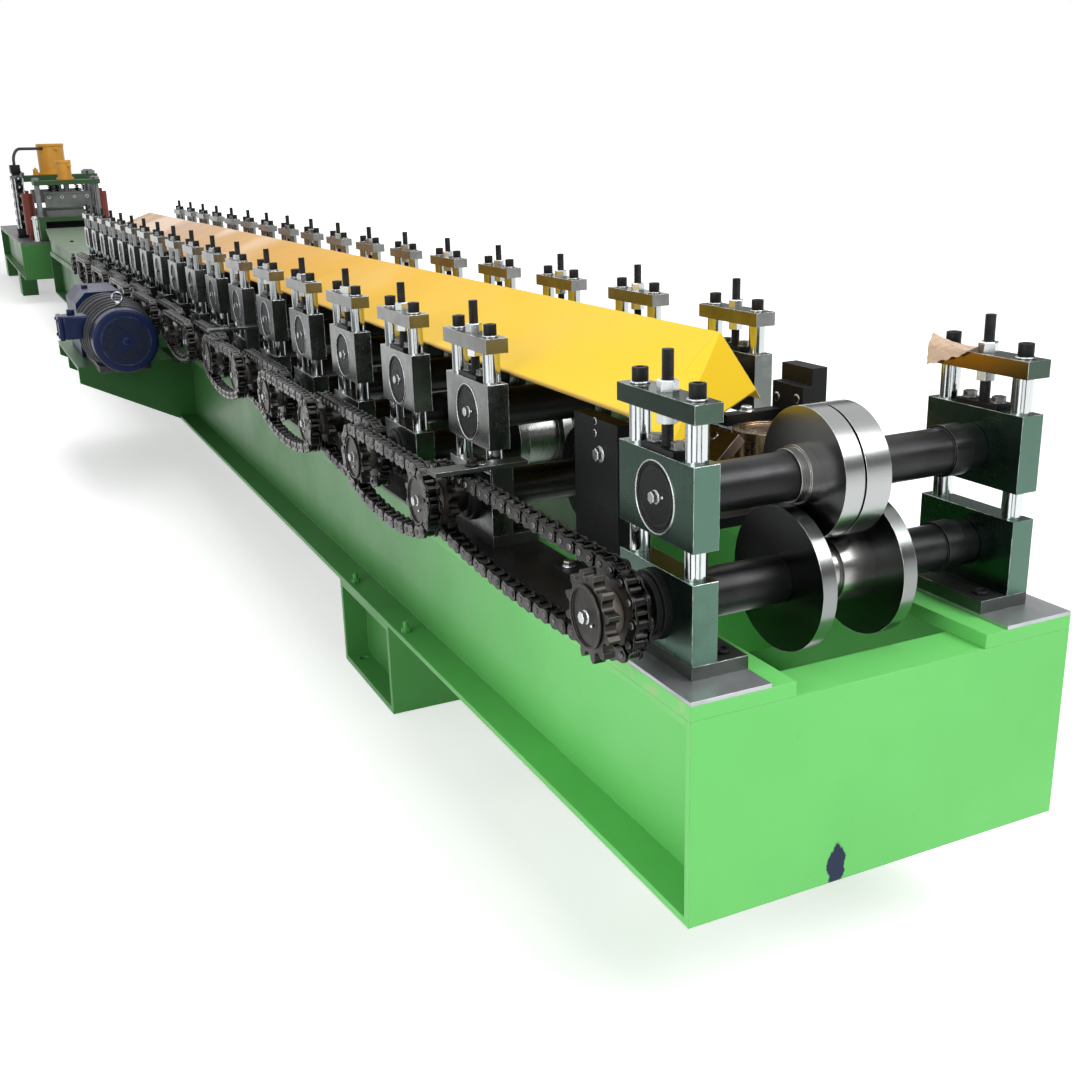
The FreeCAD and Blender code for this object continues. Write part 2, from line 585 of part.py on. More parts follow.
def toothed_disc(y_low, y_high, phase):
    """A sprocket plate about the Y axis; phase turns its first pocket away from the top."""
    pocket = size("roller_radius") + size("slide_clearance")
    step = 2 * math.pi / teeth
    tip = size("tooth_tip")
    mouth = math.asin(pocket / pitch_radius) * size("pocket_mouth_share")
    tip_half = size("tooth_tip_share") / 2
    edges = []
    for k in range(teeth):
        middle = phase + k * step
        start = polar(pitch_radius, middle - mouth, y_low)
        bottom = polar(pitch_radius - pocket, middle, y_low)
        end = polar(pitch_radius, middle + mouth, y_low)
        edges.append(Part.Arc(start, bottom, end).toShape())
        rise = polar(tip, middle + (0.5 - tip_half) * step, y_low)
        edges.append(Part.makeLine(end, rise))
        fall = polar(tip, middle + (0.5 + tip_half) * step, y_low)
        edges.append(Part.makeLine(rise, fall))
        edges.append(Part.makeLine(fall, polar(pitch_radius, middle + step - mouth, y_low)))
    plate = Part.Face(Part.Wire(edges)).extrude(Vector(0, y_high - y_low, 0))
    return plate


half_plate = size("sprocket_thick") / 2
inner_y = -size("inner_chain")
outer_y = -size("outer_chain")
hub_start_y = -(half_face + size("end_play"))


def sprocket_pair(number):
    """Both sprockets of a station and the hub between them, bored for the shaft."""
    inner = toothed_disc(inner_y - half_plate, inner_y + half_plate, 0.0)
    outer = toothed_disc(outer_y - half_plate, outer_y + half_plate, 0.0)
    reach = hub_start_y - (outer_y - half_plate)
    hub = Part.makeCylinder(size("sprocket_hub"), reach, Vector(0, outer_y - half_plate, 0),
                            Vector(0, 1, 0))
    bore = Part.makeCylinder(size("drive_journal") + size("fit_clearance"), reach,
                             Vector(0, outer_y - half_plate, 0), Vector(0, 1, 0))
    pair = inner.fuse([outer, hub]).cut(bore)
    pair.translate(Vector(station_x(number), 0, z_low_value))
    return pair


joined("sprockets", [sprocket_pair(number) for number in later])
joined("front_sprockets", [sprocket_pair(1)])


# Chains: two side bands round a pair of sprockets, joined by pins along both strands
def loop_face(x_near, x_far, radius, sag, y):
    """The area inside a loop whose lower strand hangs in an arc."""
    top_near = Vector(x_near, y, z_low_value + radius)
    top_far = Vector(x_far, y, z_low_value + radius)
    low_near = Vector(x_near, y, z_low_value - radius)
    low_far = Vector(x_far, y, z_low_value - radius)
    edges = [Part.makeLine(top_near, top_far),
             Part.Arc(top_far, Vector(x_far - radius, y, z_low_value), low_far).toShape(),
             Part.Arc(low_far, Vector((x_near + x_far) / 2, y, z_low_value - radius - sag),
                      low_near).toShape(),
             Part.Arc(low_near, Vector(x_near + radius, y, z_low_value), top_near).toShape()]
    return Part.Face(Part.Wire(edges))


def chain_loop(number, y_middle):
    """One endless chain between a station and the next."""
    x_near = station_x(number)
    x_far = station_x(number + 1)
    half_height = size("link_half_height")
    band = size("link_plate")
    gap = size("link_inner_gap") / 2
    sag = size("chain_sag")
    bands = []
    for y_low in (y_middle - gap - band, y_middle + gap):
        outside = loop_face(x_near, x_far, pitch_radius + half_height, sag, y_low)
        inside = loop_face(x_near, x_far, pitch_radius - half_height, sag, y_low)
        bands.append(outside.cut(inside).extrude(Vector(0, band, 0)))
    run = x_near - x_far
    pins = []
    count = int(run // (2 * size("chain_pitch")))
    for k in range(1, count):
        share = k / float(count)
        x_pin = x_near - run * share
        if min(run * share, run * (1 - share)) < pitch_radius:
            continue
        drop = 4 * sag * share * (1 - share)
        for z_pin in (z_low_value + pitch_radius, z_low_value - pitch_radius - drop):
            pins.append(Part.makeCylinder(size("chain_pin"), 2 * gap + band,
                                          Vector(x_pin, y_middle - gap - band / 2, z_pin),
                                          Vector(0, 1, 0)))
    return bands[0].fuse(bands[1:] + pins)


pairs = range(1, stations)
joined("drive_chains", [chain_loop(number, inner_y if number % 2 else outer_y) for number in pairs])


# two flat bars reach out over the chains from legs on the near ends of two lower blocks
def tie_bar(number, lift):
    """One bar with its leg; lift is how far it lies above the block's top."""
    x_low = station_x(number) + size("block_length") / 2
    z_bar = z_lower_value + size("lower_block_height") + lift
    flat = Part.makeBox(size("tie_bar_width"), size("tie_bar_length"), size("tie_bar_thick"),
                        Vector(x_low, -half_face - size("tie_bar_overhang"), z_bar))
    leg = Part.makeBox(size("tie_bar_thick"), size("block_thick"), size("tie_bar_leg"),
                       Vector(x_low, -half_face, z_bar - size("tie_bar_leg")))
    return flat.fuse(leg)


joined("tie_bars", [tie_bar(2, size("first_bar_lift")),
                    tie_bar(int(size("second_bar_station")), size("second_bar_lift"))])

# Guides between the first two stations
guide_z = z_foot
guide_plate = box("guide_plate_upright", ("guide_plate_length", "guide_plate_thick",
                                          "guide_plate_height"),
                  (x_end + " - guide_plate_from_end - guide_plate_length",
                   "-(guide_plate_offset + guide_plate_thick)", guide_z + " + guide_foot_thick"))
guide_foot = box("guide_plate_foot", ("guide_plate_length", "guide_foot_width", "guide_foot_thick"),
                 (x_end + " - guide_plate_from_end - guide_plate_length",
                  "-(guide_plate_offset + guide_foot_width)", guide_z))
plate_guide = fuse("plate_guide", [guide_plate, guide_foot])
guide_x = "(" + x_end + " - guide_block_from_end - guide_block_length)"
guide_front = box("guide_block_front", ("guide_block_length", "guide_front_thick",
                                        "guide_block_height - guide_block_step"),
                  (guide_x, "guide_block_offset", z_foot))
guide_rear = box("guide_block_rear", ("guide_block_length", "guide_rear_thick",
                                      "guide_block_height"),
                 (guide_x, "guide_block_offset + guide_front_thick", z_foot))
guide_arm = box("guide_arm", ("guide_arm_width", "guide_arm_reach", "guide_arm_thick"),
                (guide_x, "guide_block_offset - guide_arm_reach", z_foot + " + guide_arm_rise"))
guide_base = box("guide_base", ("guide_base_length", "guide_base_reach", "guide_base_thick"),
                 (guide_x, "guide_block_offset - guide_base_reach",
                  z_foot + " + guide_base_rise"))
z_guide_base = "(" + z_foot + " + guide_base_rise + guide_base_thick)"
guide_post = box("guide_post", ("guide_post_width", "guide_post_thick", "guide_post_height"),
                 (guide_x + " + guide_post_start", "-guide_post_left", z_guide_base))
# the inclined bar leans on its post, its broad face up and to the left
guide_bar = box("guide_bar", ("guide_bar_length", "guide_bar_width", "guide_bar_thick"),
                (guide_x + " + guide_bar_start", "-guide_bar_left", z_foot + " + guide_bar_rise"))
guide_bar.Placement.Rotation = FreeCAD.Rotation(Vector(1, 0, 0), size("guide_bar_angle"))
keep("guide_bar", guide_bar)
post_cut = cut("guide_post_cut", guide_post, [guide_bar])
block_guide = fuse("block_guide", [guide_front, guide_rear, guide_arm, guide_base, post_cut])

# an upright roller with a dished top stands on the guide's base
roller_x = guide_x + " + guide_roller_start"
roller_z = "(" + z_guide_base + " + guide_roller_lift)"
roller_drum = rod("guide_roller_drum", "guide_roller_radius", "guide_roller_height",
                  (roller_x, "guide_roller_offset", roller_z))
roller_foot = rod("guide_roller_seat", "guide_roller_foot", "guide_roller_lift",
                  (roller_x, "guide_roller_offset", z_guide_base))
roller_dish = rod("guide_roller_hollow", "guide_roller_radius - guide_roller_rim",
                  "guide_roller_dish",
                  (roller_x, "guide_roller_offset",
                   roller_z + " + guide_roller_height - guide_roller_dish"))
roller_blank = fuse("guide_roller_blank", [roller_drum, roller_foot])
keep("guide_roller", cut("guide_roller", roller_blank, [roller_dish]))
group("entry_guides", [plate_guide, block_guide])


# Cover: a long roof sheet in two lengths, with a flap bent down at the near end
def roof_panel(corners):
    """A flat sheet with the cover's thickness, measured down from its corners."""
    face = Part.Face(Part.makePolygon([Vector(*corner) for corner in corners + corners[:1]]))
    return face.extrude(Vector(0, 0, -size("cover_thick")))


bed_foot = size("sleeper_height")
ridge_z = bed_foot + size("ridge_height")
eaves_z = bed_foot + size("eaves_height")
side_z = ridge_z - size("side_fall")
lip_z = side_z - size("lip_fall")
side_y = size("side_reach")
lip_y = side_y + size("lip_reach")
eaves_y = -size("cover_half_width")
ridge_x = x_end_value - size("ridge_from_end")
eaves_x = x_end_value - size("eaves_from_end")
seam_x = x_end_value - size("cover_seam")
tail_x = x_end_value - size("cover_end")
side_x = ridge_x + size("side_lead")


def roof(near, far, drop):
    """A folded sheet between two ends; near holds the X of its eaves, ridge and side."""
    panels = [
        roof_panel([(near[0], eaves_y, eaves_z - drop), (near[1], 0, ridge_z - drop),
                    (far, 0, ridge_z - drop), (far, eaves_y, eaves_z - drop)]),
        roof_panel([(near[1], 0, ridge_z - drop), (near[2], side_y, side_z - drop),
                    (far, side_y, side_z - drop), (far, 0, ridge_z - drop)]),
        roof_panel([(near[2], side_y, side_z - drop), (near[2] - size("lip_reach"), lip_y, lip_z - drop),
                    (far, lip_y, lip_z - drop), (far, side_y, side_z - drop)])]
    if drop == 0:
        corner = (near[0] + size("flap_length"), eaves_y, eaves_z - size("flap_drop"))
        panels.append(roof_panel([(near[1], 0, ridge_z), (near[0], eaves_y, eaves_z), corner]))
        panels.append(roof_panel([(near[1], 0, ridge_z), corner, (near[2], side_y, side_z)]))
    return panels[0].fuse(panels[1:]).removeSplitter()


under = size("cover_thick") + size("slide_clearance")
seam_near = seam_x + size("cover_overlap")
joined("cover_sheets", [roof((eaves_x, ridge_x, side_x), seam_x, 0),
                        roof((seam_near, seam_near, seam_near), tail_x, under)])

# rests that carry the sheet's two long edges: pads on left blocks, arms from right blocks
rests = []
inner_face = half_face - size("block_thick")
pad_width = inner_face + eaves_y + size("rest_overlap")
arm_y = lip_y - size("rest_overlap")
for number in (3, 6, 9, 12, 14, 17):
    x_rest = station_x(number)
    drop = size("cover_thick") + (under if x_rest < seam_near else 0)
    rests.append(Part.makeBox(size("rest_length"), pad_width, size("rest_height"),
                              Vector(x_rest - size("rest_length") / 2, -inner_face,
                                     eaves_z - drop - size("rest_height"))))
    arm_z = lip_z - drop - size("arm_thick")
    rests.append(Part.makeBox(size("arm_width"), inner_face - arm_y, size("arm_thick"),
                              Vector(x_rest + size("arm_shift"), arm_y, arm_z)))
joined("cover_rests", rests)

# Motor drive: a tapered bracket, a gearbox on it and a motor that points to the near end
bracket_x = x_end_value - size("bracket_from_end")
half_bed = size("bed_width") / 2
reach = half_bed + size("bracket_reach")
web_y = half_bed - size("beam_flange") / 2 + size("beam_web") / 2
flange_z = bed_foot + size("beam_flange_thick")
low_z = bed_foot + size("bracket_outer_low")
high_z = bed_foot + size("bracket_outer_high")
plate = size("bracket_plate")


def bracket_rib(x_rib):
    """A tapered plate across the bed's side, let in behind the beam's flanges."""
    corners = [(-web_y, flange_z), (-half_bed, flange_z), (-half_bed, bed_foot), (-reach, low_z),
               (-reach, high_z), (-half_bed, high_z), (-web_y, high_z)]
    wire = Part.makePolygon([Vector(x_rib, y, z) for y, z in corners + corners[:1]])
    return Part.Face(wire).extrude(Vector(-plate, 0, 0))


shelf_z = high_z
shelf = Part.makeBox(size("bracket_length"), reach - half_bed, plate,
                     Vector(bracket_x - size("bracket_length"), -reach, high_z))
ribs = [bracket_rib(bracket_x), bracket_rib(bracket_x - size("bracket_length") / 2),
        bracket_rib(bracket_x - size("bracket_length") + plate)]
joined("motor_bracket", [shelf.fuse(ribs)])

motor_y = -size("motor_offset")
gear_bottom = shelf_z + plate
motor_z = gear_bottom + size("motor_axis_height")
fan_x = x_end_value - size("motor_from_end")


def along_x(radius, x_high, length, y=motor_y, z=motor_z):
    """A round bar on the motor's axis, from its near face back."""
    return Part.makeCylinder(radius, length, Vector(x_high, y, z), Vector(-1, 0, 0))


fan_length = size("fan_cover_length")
joined("motor_fan_cover", [along_x(size("fan_cover_radius"), fan_x, fan_length)])
body_x = fan_x - fan_length
body = along_x(size("motor_radius"), body_x, size("motor_length"))
adapter = along_x(size("adapter_radius"), body_x - size("motor_length"), size("adapter_thick"))
motor_foot = Part.makeBox(size("motor_length"), size("motor_foot_width"), size("motor_foot_height"),
                          Vector(body_x - size("motor_length"), motor_y - size("motor_foot_width") / 2,
                                 gear_bottom))
joined("motor_body", [body.fuse([adapter, motor_foot])])
terminal_x = body_x - size("terminal_setback")
terminal_z = motor_z + size("terminal_rise")
terminal_block = Part.makeBox(size("terminal_length"), size("terminal_width") + size("motor_radius"),
                              size("terminal_height"),
                              Vector(terminal_x - size("terminal_length"),
                                     motor_y - size("motor_radius") - size("terminal_width"),
                                     terminal_z - size("terminal_height") / 2))
joined("terminal_box", [terminal_block.cut(body)])
gear_x = body_x - size("motor_length") - size("adapter_thick")
gearbox = Part.makeBox(size("gearbox_length"), size("gearbox_width"), size("gearbox_height"),
                       Vector(gear_x - size("gearbox_length"), motor_y - size("gearbox_width") / 2,
                              gear_bottom))
long_edges = [edge for edge in gearbox.Edges if abs(edge.Vertexes[0].X - edge.Vertexes[1].X) > 1
              and edge.Vertexes[0].Z > gear_bottom + 1]
joined("gearbox", [gearbox.makeChamfer(size("gearbox_chamfer"), long_edges)])
shaft_x = gear_x - size("gearbox_length") / 2
output_start = motor_y + size("gearbox_width") / 2
output_end = outer_y - half_plate - size("shaft_gap")
output = Part.makeCylinder(size("gearbox_shaft"), output_end - output_start,
                           Vector(shaft_x, output_start, motor_z), Vector(0, 1, 0))
joined("drive_shaft", [output])

# Run-out table: side plates on the rails carry a plate that narrows towards the presses
bed_far = x_end_value - size("bed_length")
rail_top = bed_foot + size("beam_depth") + size("rail_thick")
table_x = x_end_value - size("table_from_end")
side_height = size("table_side_height")
supports = []
for y_side in (-size("table_near_half"), size("table_near_half") - size("table_side_thick")):
    supports.append(Part.makeBox(table_x - bed_far, size("table_side_thick"), side_height,
                                 Vector(bed_far, y_side, rail_top)))
table_base = rail_top + side_height
press_edge = bed_far - size("table_gap")
table_end = press_edge - size("table_overlap")
rest_face = [Vector(press_edge, -size("table_rest_half"), rail_top),
             Vector(table_end, -size("table_rest_half"), rail_top),
             Vector(table_end, -size("table_rest_half"), table_base + size("table_rise")),
             Vector(press_edge, -size("table_rest_half"),
                    table_base + size("table_rise") * size("table_gap") / (bed_far - table_end))]
rest = Part.Face(Part.makePolygon(rest_face + rest_face[:1]))
supports.append(rest.extrude(Vector(0, 2 * size("table_rest_half"), 0)))
joined("table_supports", supports)
far_half = size("table_far_half")
near_half = size("table_near_half")
thick = size("table_thick")
flat_wire = [Part.makePolygon([Vector(x, -y, z), Vector(x, y, z), Vector(x, y, z + thick),
                               Vector(x, -y, z + thick), Vector(x, -y, z)])
             for x, y, z in ((table_x, near_half, table_base), (bed_far, near_half, table_base),
                             (table_end, far_half, table_base + size("table_rise")))]
table_near = Part.makeLoft(flat_wire[:2], True, True)
table_far = Part.makeLoft(flat_wire[1:], True, True)
joined("runout_table", [table_near.fuse(table_far)])

# Press bed: the same kind of beam, on short sleepers of its own
press_near = "(" + x_end + " - bed_length - table_gap)"
for side_name, side in (("left", -1), ("right", 1)):
    beam = section("press_%s_beam" % side_name, "YZ_Plane", beam_corners("press_bed_width", side),
                   "press_bed_length - 2 * end_plate_thick")
    beams.append(put(beam, (press_near + " - press_bed_length + end_plate_thick", "0", z_beam)))
for k, back in enumerate(("end_plate_thick", "press_bed_length")):
    end_plates.append(box("press_end_plate_%d" % (k + 1),
                          ("end_plate_thick", "press_bed_width", "beam_depth"),
                          (press_near + " - " + back, "-press_bed_width / 2", z_beam)))
press_top = box("press_bed_top", ("press_bed_length", "press_bed_width", "rail_thick"),
                (press_near + " - press_bed_length", "-press_bed_width / 2", z_rail))
press_foot = box("press_foot", ("press_sleeper_length", "press_sleeper_width", "sleeper_height"),
                 (press_near + " - press_sleeper_setback - press_sleeper_length",
                  "-press_bed_width / 2", "0"))
doc.recompute()
keep("press_bed_top", press_top)
group("bed_beams", beams)
group("end_plates", end_plates)
for back in (0, size("press_sleeper_spacing")):
    piece = press_foot.Shape.copy()
    piece.translate(Vector(-back, 0, 0))
    sleepers.append(piece)
    sleepers.append(mirrored(piece))
joined("sleepers", sleepers)

# Presses: a deck on stands, posts, a head with a cylinder, a fixed die and a moving die
shared = {"press_decks": [], "press_posts": [], "press_heads": [], "lower_dies": [],
          "press_cylinders": []}


def press(name):
    """One press from the sheet's sizes that start with its name. Its upper die moves."""
    own = {key[len(name) + 1:]: size(key) for key in aliases if key.startswith(name + "_")}
    length = own["length"]
    width = own["width"]
    stand = size("deck_stand_width")
    x_high = press_edge - own["from_bed_end"]
    x_low = x_high - length
    x_mid = (x_low + x_high) / 2
    deck_low = rail_top + own["deck_height"]
    deck_top = deck_low + own["deck_thick"]
    deck = Part.makeBox(length, width, own["deck_thick"], Vector(x_low, -width / 2, deck_low))
    stands = [Part.makeBox(length, stand, own["deck_height"], Vector(x_low, y_low, rail_top))
              for y_low in (-width / 2, width / 2 - stand)]
    shared["press_decks"].append(deck.fuse(stands))
    head_low = deck_top + own["head_height"]
    head_top = head_low + own["head_thick"]
    inset = own["post_inset"]
    for x_post in (x_low + inset, x_high - inset):
        for y_post in (inset - width / 2, width / 2 - inset):
            shared["press_posts"].append(Part.makeCylinder(own["post_radius"], own["head_height"],
                                                           Vector(x_post, y_post, deck_top)))
    running = own["ram_radius"] + size("slide_clearance")
    bore = Part.makeCylinder(running, own["head_thick"], Vector(x_mid, 0, head_low))
    head = Part.makeBox(length, width, own["head_thick"], Vector(x_low, -width / 2, head_low))
    shared["press_heads"].append(head.cut(bore))
    die_x = x_mid - own["die_length"] / 2
    die_y = -own["die_width"] / 2
    shared["lower_dies"].append(Part.makeBox(own["die_length"], own["die_width"], own["lower_die"],
                                             Vector(die_x, die_y, deck_top)))
    upper_low = deck_top + own["lower_die"] + own["throat"] + own["stroke"]
    upper_high = upper_low + own["upper_die"]
    upper = Part.makeBox(own["die_length"], own["die_width"], own["upper_die"],
                         Vector(die_x, die_y, upper_low))
    barrel_height = own["cylinder_height"]
    ram_top = head_top + own["ram_reach"]
    ram = Part.makeCylinder(own["ram_radius"], ram_top - upper_high, Vector(x_mid, 0, upper_high))
    joined(name + "_upper_die", [upper.fuse(ram)])
    barrel = Part.makeCylinder(own["cylinder_radius"], barrel_height, Vector(x_mid, 0, head_top))
    hollow = Part.makeCylinder(running, barrel_height - own["cylinder_end"], Vector(x_mid, 0, head_top))
    shared["press_cylinders"].append(barrel.cut(hollow))
    return x_mid, head_top + barrel_height


press("shear")
punch_x, punch_top = press("punch")
for node, shapes in shared.items():
    joined(node, shapes)

# red side cylinders and a valve stack stand on the press bed beside the presses
tower_x = press_edge - size("shear_from_bed_end") - size("shear_length") - size("side_cylinder_gap")
side_cylinders = []
for y_side in (-size("side_cylinder_offset"), size("side_cylinder_offset")):
    spigot = Part.makeCylinder(size("side_cylinder_foot"), size("side_cylinder_lift"),
                               Vector(tower_x, y_side, rail_top))
    barrel = Part.makeCylinder(size("side_cylinder_radius"), size("side_cylinder_height"),
                               Vector(tower_x, y_side, rail_top + size("side_cylinder_lift")))
    side_cylinders.append(barrel.fuse(spigot))
joined("side_cylinders", side_cylinders)
valve_x = press_edge - size("punch_from_bed_end")
valve_y = -size("valve_offset") - size("valve_width")
valve_top = rail_top + size("valve_height")
joined("valve_stack", [Part.makeBox(size("valve_length"), size("valve_width"), size("valve_height"),
                                    Vector(valve_x, valve_y, rail_top))])

# a hose leaves the big cylinder's side, bends once and goes down into the valve stack
reach_line = Vector(valve_x + size("valve_length") / 2 - punch_x, valve_y + size("valve_width") / 2, 0)
along = Vector(reach_line).normalize()
hose_z = punch_top - size("hose_drop")
hose_out = reach_line.Length - size("hose_bend")
corner_share = 1 - math.sqrt(0.5)
hose_start = Vector(punch_x, 0, hose_z) + along * size("punch_cylinder_radius")
hose_turn = Vector(punch_x, 0, hose_z) + along * hose_out
hose_middle = (Vector(punch_x, 0, hose_z - size("hose_bend") * corner_share)
               + along * (reach_line.Length - size("hose_bend") * corner_share))
hose_down = Vector(punch_x, 0, hose_z - size("hose_bend")) + reach_line
hose_path = Part.Wire([Part.makeLine(hose_start, hose_turn),
                       Part.Arc(hose_turn, hose_middle, hose_down).toShape(),
                       Part.makeLine(hose_down, Vector(hose_down.x, hose_down.y, valve_top))])
hose_ring = Part.Wire([Part.makeCircle(size("hose_radius"), hose_start, along)])
joined("press_hose", [hose_path.makePipeShell([hose_ring], True, True)])

# Checks and files
doc.recompute()
for thing in doc.Objects:
    state = thing.State
    if "Invalid" in state or "Error" in state:
        raise RuntimeError("%s did not build: %s" % (thing.Label, state))
for node, thing in parts.items():
    if thing.Shape.isNull() or not thing.Shape.isValid():
        raise RuntimeError("%s has no valid shape" % node)
os.makedirs("parts", exist_ok=True)
total = 0.0
for node, thing in parts.items():
    total += thing.Shape.Volume
    thing.Shape.exportStep(os.path.join("parts", node + ".step"))
print("%d nodes, %.3f cubic metres of solid" % (len(parts), total / 1e9))
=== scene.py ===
import json
import math
import bpy
from mathutils import Matrix, Vector


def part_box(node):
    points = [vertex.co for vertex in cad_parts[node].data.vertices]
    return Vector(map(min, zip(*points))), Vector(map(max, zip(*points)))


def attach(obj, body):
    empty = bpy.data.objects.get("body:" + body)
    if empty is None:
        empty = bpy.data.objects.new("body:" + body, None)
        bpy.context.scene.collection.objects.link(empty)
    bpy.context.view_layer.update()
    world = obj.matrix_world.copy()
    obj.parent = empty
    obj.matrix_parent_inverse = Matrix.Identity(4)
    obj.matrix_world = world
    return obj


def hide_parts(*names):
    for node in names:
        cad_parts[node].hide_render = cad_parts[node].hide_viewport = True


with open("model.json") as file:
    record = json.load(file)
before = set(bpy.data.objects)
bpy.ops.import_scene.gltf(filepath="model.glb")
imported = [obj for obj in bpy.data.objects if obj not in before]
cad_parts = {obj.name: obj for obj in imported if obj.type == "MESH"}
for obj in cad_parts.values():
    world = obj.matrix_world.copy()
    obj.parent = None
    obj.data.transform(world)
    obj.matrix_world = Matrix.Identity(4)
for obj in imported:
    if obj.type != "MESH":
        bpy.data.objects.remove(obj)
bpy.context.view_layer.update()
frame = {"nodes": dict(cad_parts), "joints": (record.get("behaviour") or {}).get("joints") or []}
nodes = frame["nodes"]
joints = {joint["name"]: joint for joint in frame["joints"]}
print("frame loaded:", len(nodes), "nodes")

# Places taken from the frame, in metres
lowAxis = Vector(joints["front_lower_turn"]["pos_m"])
highAxis = Vector(joints["front_upper_turn"]["pos_m"])
nearEnd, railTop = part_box("rails")[1].x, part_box("rails")[1].z
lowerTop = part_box("lower_blocks")[1].z
standFace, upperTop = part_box("upper_blocks")[1].y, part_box("upper_blocks")[1].z
capLow, capTop = (corner.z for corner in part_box("cap_plates"))
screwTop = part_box("adjusting_screws")[1].z
layout = {"firstGap": 0.687, "gap": 0.400, "stations": 18, "blockThick": 0.041, "columnOffset": 0.075}
blockMiddle = standFace - layout["blockThick"] / 2
frameBody = "machine_frame"
carriageBody = "front_rollers_slide"


def stationX(number):
    if number == 1:
        return lowAxis.x
    return lowAxis.x - layout["firstGap"] - (number - 2) * layout["gap"]


every = range(1, layout["stations"] + 1)
later = range(2, layout["stations"] + 1)
halves = (("", later, frameBody), ("front_", [1], carriageBody))

# Camera, at the place and angle of the photograph
cameraPlan = {"place": (2.7753, -1.1483, 1.2816), "yaw": 24.762, "pitch": 17.501, "roll": -1.691, "lens": 41.36,
    "sensor": 36.0}


def makeCamera():
    yaw, pitch, roll = (math.radians(cameraPlan[key]) for key in ("yaw", "pitch", "roll"))
    forward = Vector((-math.cos(yaw) * math.cos(pitch), math.sin(yaw) * math.cos(pitch), -math.sin(pitch)))
    level = forward.cross(Vector((0, 0, 1))).normalized()
    upright = level.cross(forward)
    right = math.cos(roll) * level + math.sin(roll) * upright
    up = math.cos(roll) * upright - math.sin(roll) * level
    data = bpy.data.cameras.new("photoCamera")
    data.lens = cameraPlan["lens"]
    data.sensor_width = cameraPlan["sensor"]
    data.clip_end = 200
    camera = bpy.data.objects.new("photoCamera", data)
    bpy.context.scene.collection.objects.link(camera)
    turn = Matrix((right, up, -forward)).transposed().to_4x4()
    camera.matrix_world = Matrix.Translation(cameraPlan["place"]) @ turn
    bpy.context.scene.camera = camera


makeCamera()
print("camera placed")


# Modelling helpers
def clearSelection():
    bpy.ops.object.select_all(action="DESELECT")


def activate(piece):
    clearSelection()
    piece.select_set(True)
    bpy.context.view_layer.objects.active = piece
    return piece


def settle(piece):
    activate(piece)
    bpy.ops.object.transform_apply(location=True, rotation=True, scale=True)
    return piece


def named(piece, name):
    piece.name = name
    piece.data.name = name
    return piece


def modified(piece, kind, **settings):
    activate(piece)
    step = piece.modifiers.new("step", kind)
    for key, value in settings.items():
        setattr(step, key, value)
    bpy.ops.object.modifier_apply(modifier=step.name)
    return piece


def bevelled(piece, width, steps=2):
    if not width:
        return piece
    return modified(piece, "BEVEL", width=width, segments=steps, limit_method="ANGLE", angle_limit=math.radians(30))


def smoothed(piece, angle=32):
    activate(piece)
    bpy.ops.object.shade_smooth_by_angle(angle=math.radians(angle))
    return piece


def moved(piece, placing):
    piece.data.transform(placing)
    return piece


# The last two numbers of a block, a rod or a disc are its edges' bevel and the bevel's steps
def addBlock(name, low, high, edge=0.0, steps=2):
    low, high = Vector(low), Vector(high)
    clearSelection()
    bpy.ops.mesh.primitive_cube_add(size=1, location=(low + high) / 2)
    piece = named(bpy.context.object, name)
    piece.scale = high - low
    return bevelled(settle(piece), edge, steps)


def addRod(name, radius, start, end, sides=24, edge=0.0, steps=2):
    start, end = Vector(start), Vector(end)
    along = end - start
    clearSelection()
    bpy.ops.mesh.primitive_cone_add(vertices=sides, radius1=radius, radius2=radius, depth=along.length,
        location=(start + end) / 2, rotation=along.to_track_quat("Z", "Y").to_euler())
    return bevelled(settle(named(bpy.context.object, name)), edge, steps)


def addDisc(name, radius, high, sides, edge=0.0, steps=2):
    return addRod(name, radius, (0, 0, 0), (0, 0, high), sides, edge, steps)


def upright(name, radius, x, y, low, high, sides, edge=0.0, steps=2):
    return addRod(name, radius, (x, y, low), (x, y, high), sides, edge, steps)


def uprights(x, y, rows):
    # each row holds radius, low, high and sides, and may hold a bevel and its steps
    return [upright("part", radius, x, y, low, high, *rest) for radius, low, high, *rest in rows]


def addRing(name, middle, ringRadius, wireRadius, along, sides, wireSides):
    clearSelection()
    bpy.ops.mesh.primitive_torus_add(major_radius=ringRadius, minor_radius=wireRadius, major_segments=sides,
        minor_segments=wireSides, location=middle, rotation=Vector(along).to_track_quat("Z", "Y").to_euler())
    return settle(named(bpy.context.object, name))


def pickFaces(piece, test):
    activate(piece)
    bpy.ops.object.mode_set(mode="EDIT")
    bpy.ops.mesh.select_mode(type="FACE")
    bpy.ops.mesh.select_all(action="DESELECT")
    bpy.ops.object.mode_set(mode="OBJECT")
    for face in piece.data.polygons:
        face.select = test(face)
    bpy.ops.object.mode_set(mode="EDIT")


def leaveEdit():
    bpy.ops.object.mode_set(mode="OBJECT")


def sunk(piece, direction, border, depth):
    aim = Vector(direction)
    far = max((vertex.co.dot(aim) for vertex in piece.data.vertices))
    pickFaces(piece, lambda face: face.normal.dot(aim) > 0.99 and face.center.dot(aim) > far - 1e-4)
    bpy.ops.mesh.inset(thickness=border)
    bpy.ops.mesh.extrude_region_move(TRANSFORM_OT_translate={"value": tuple(aim * -depth)})
    leaveEdit()
    return piece


def raised(piece, direction, border, out):
    return sunk(piece, direction, border, -out)


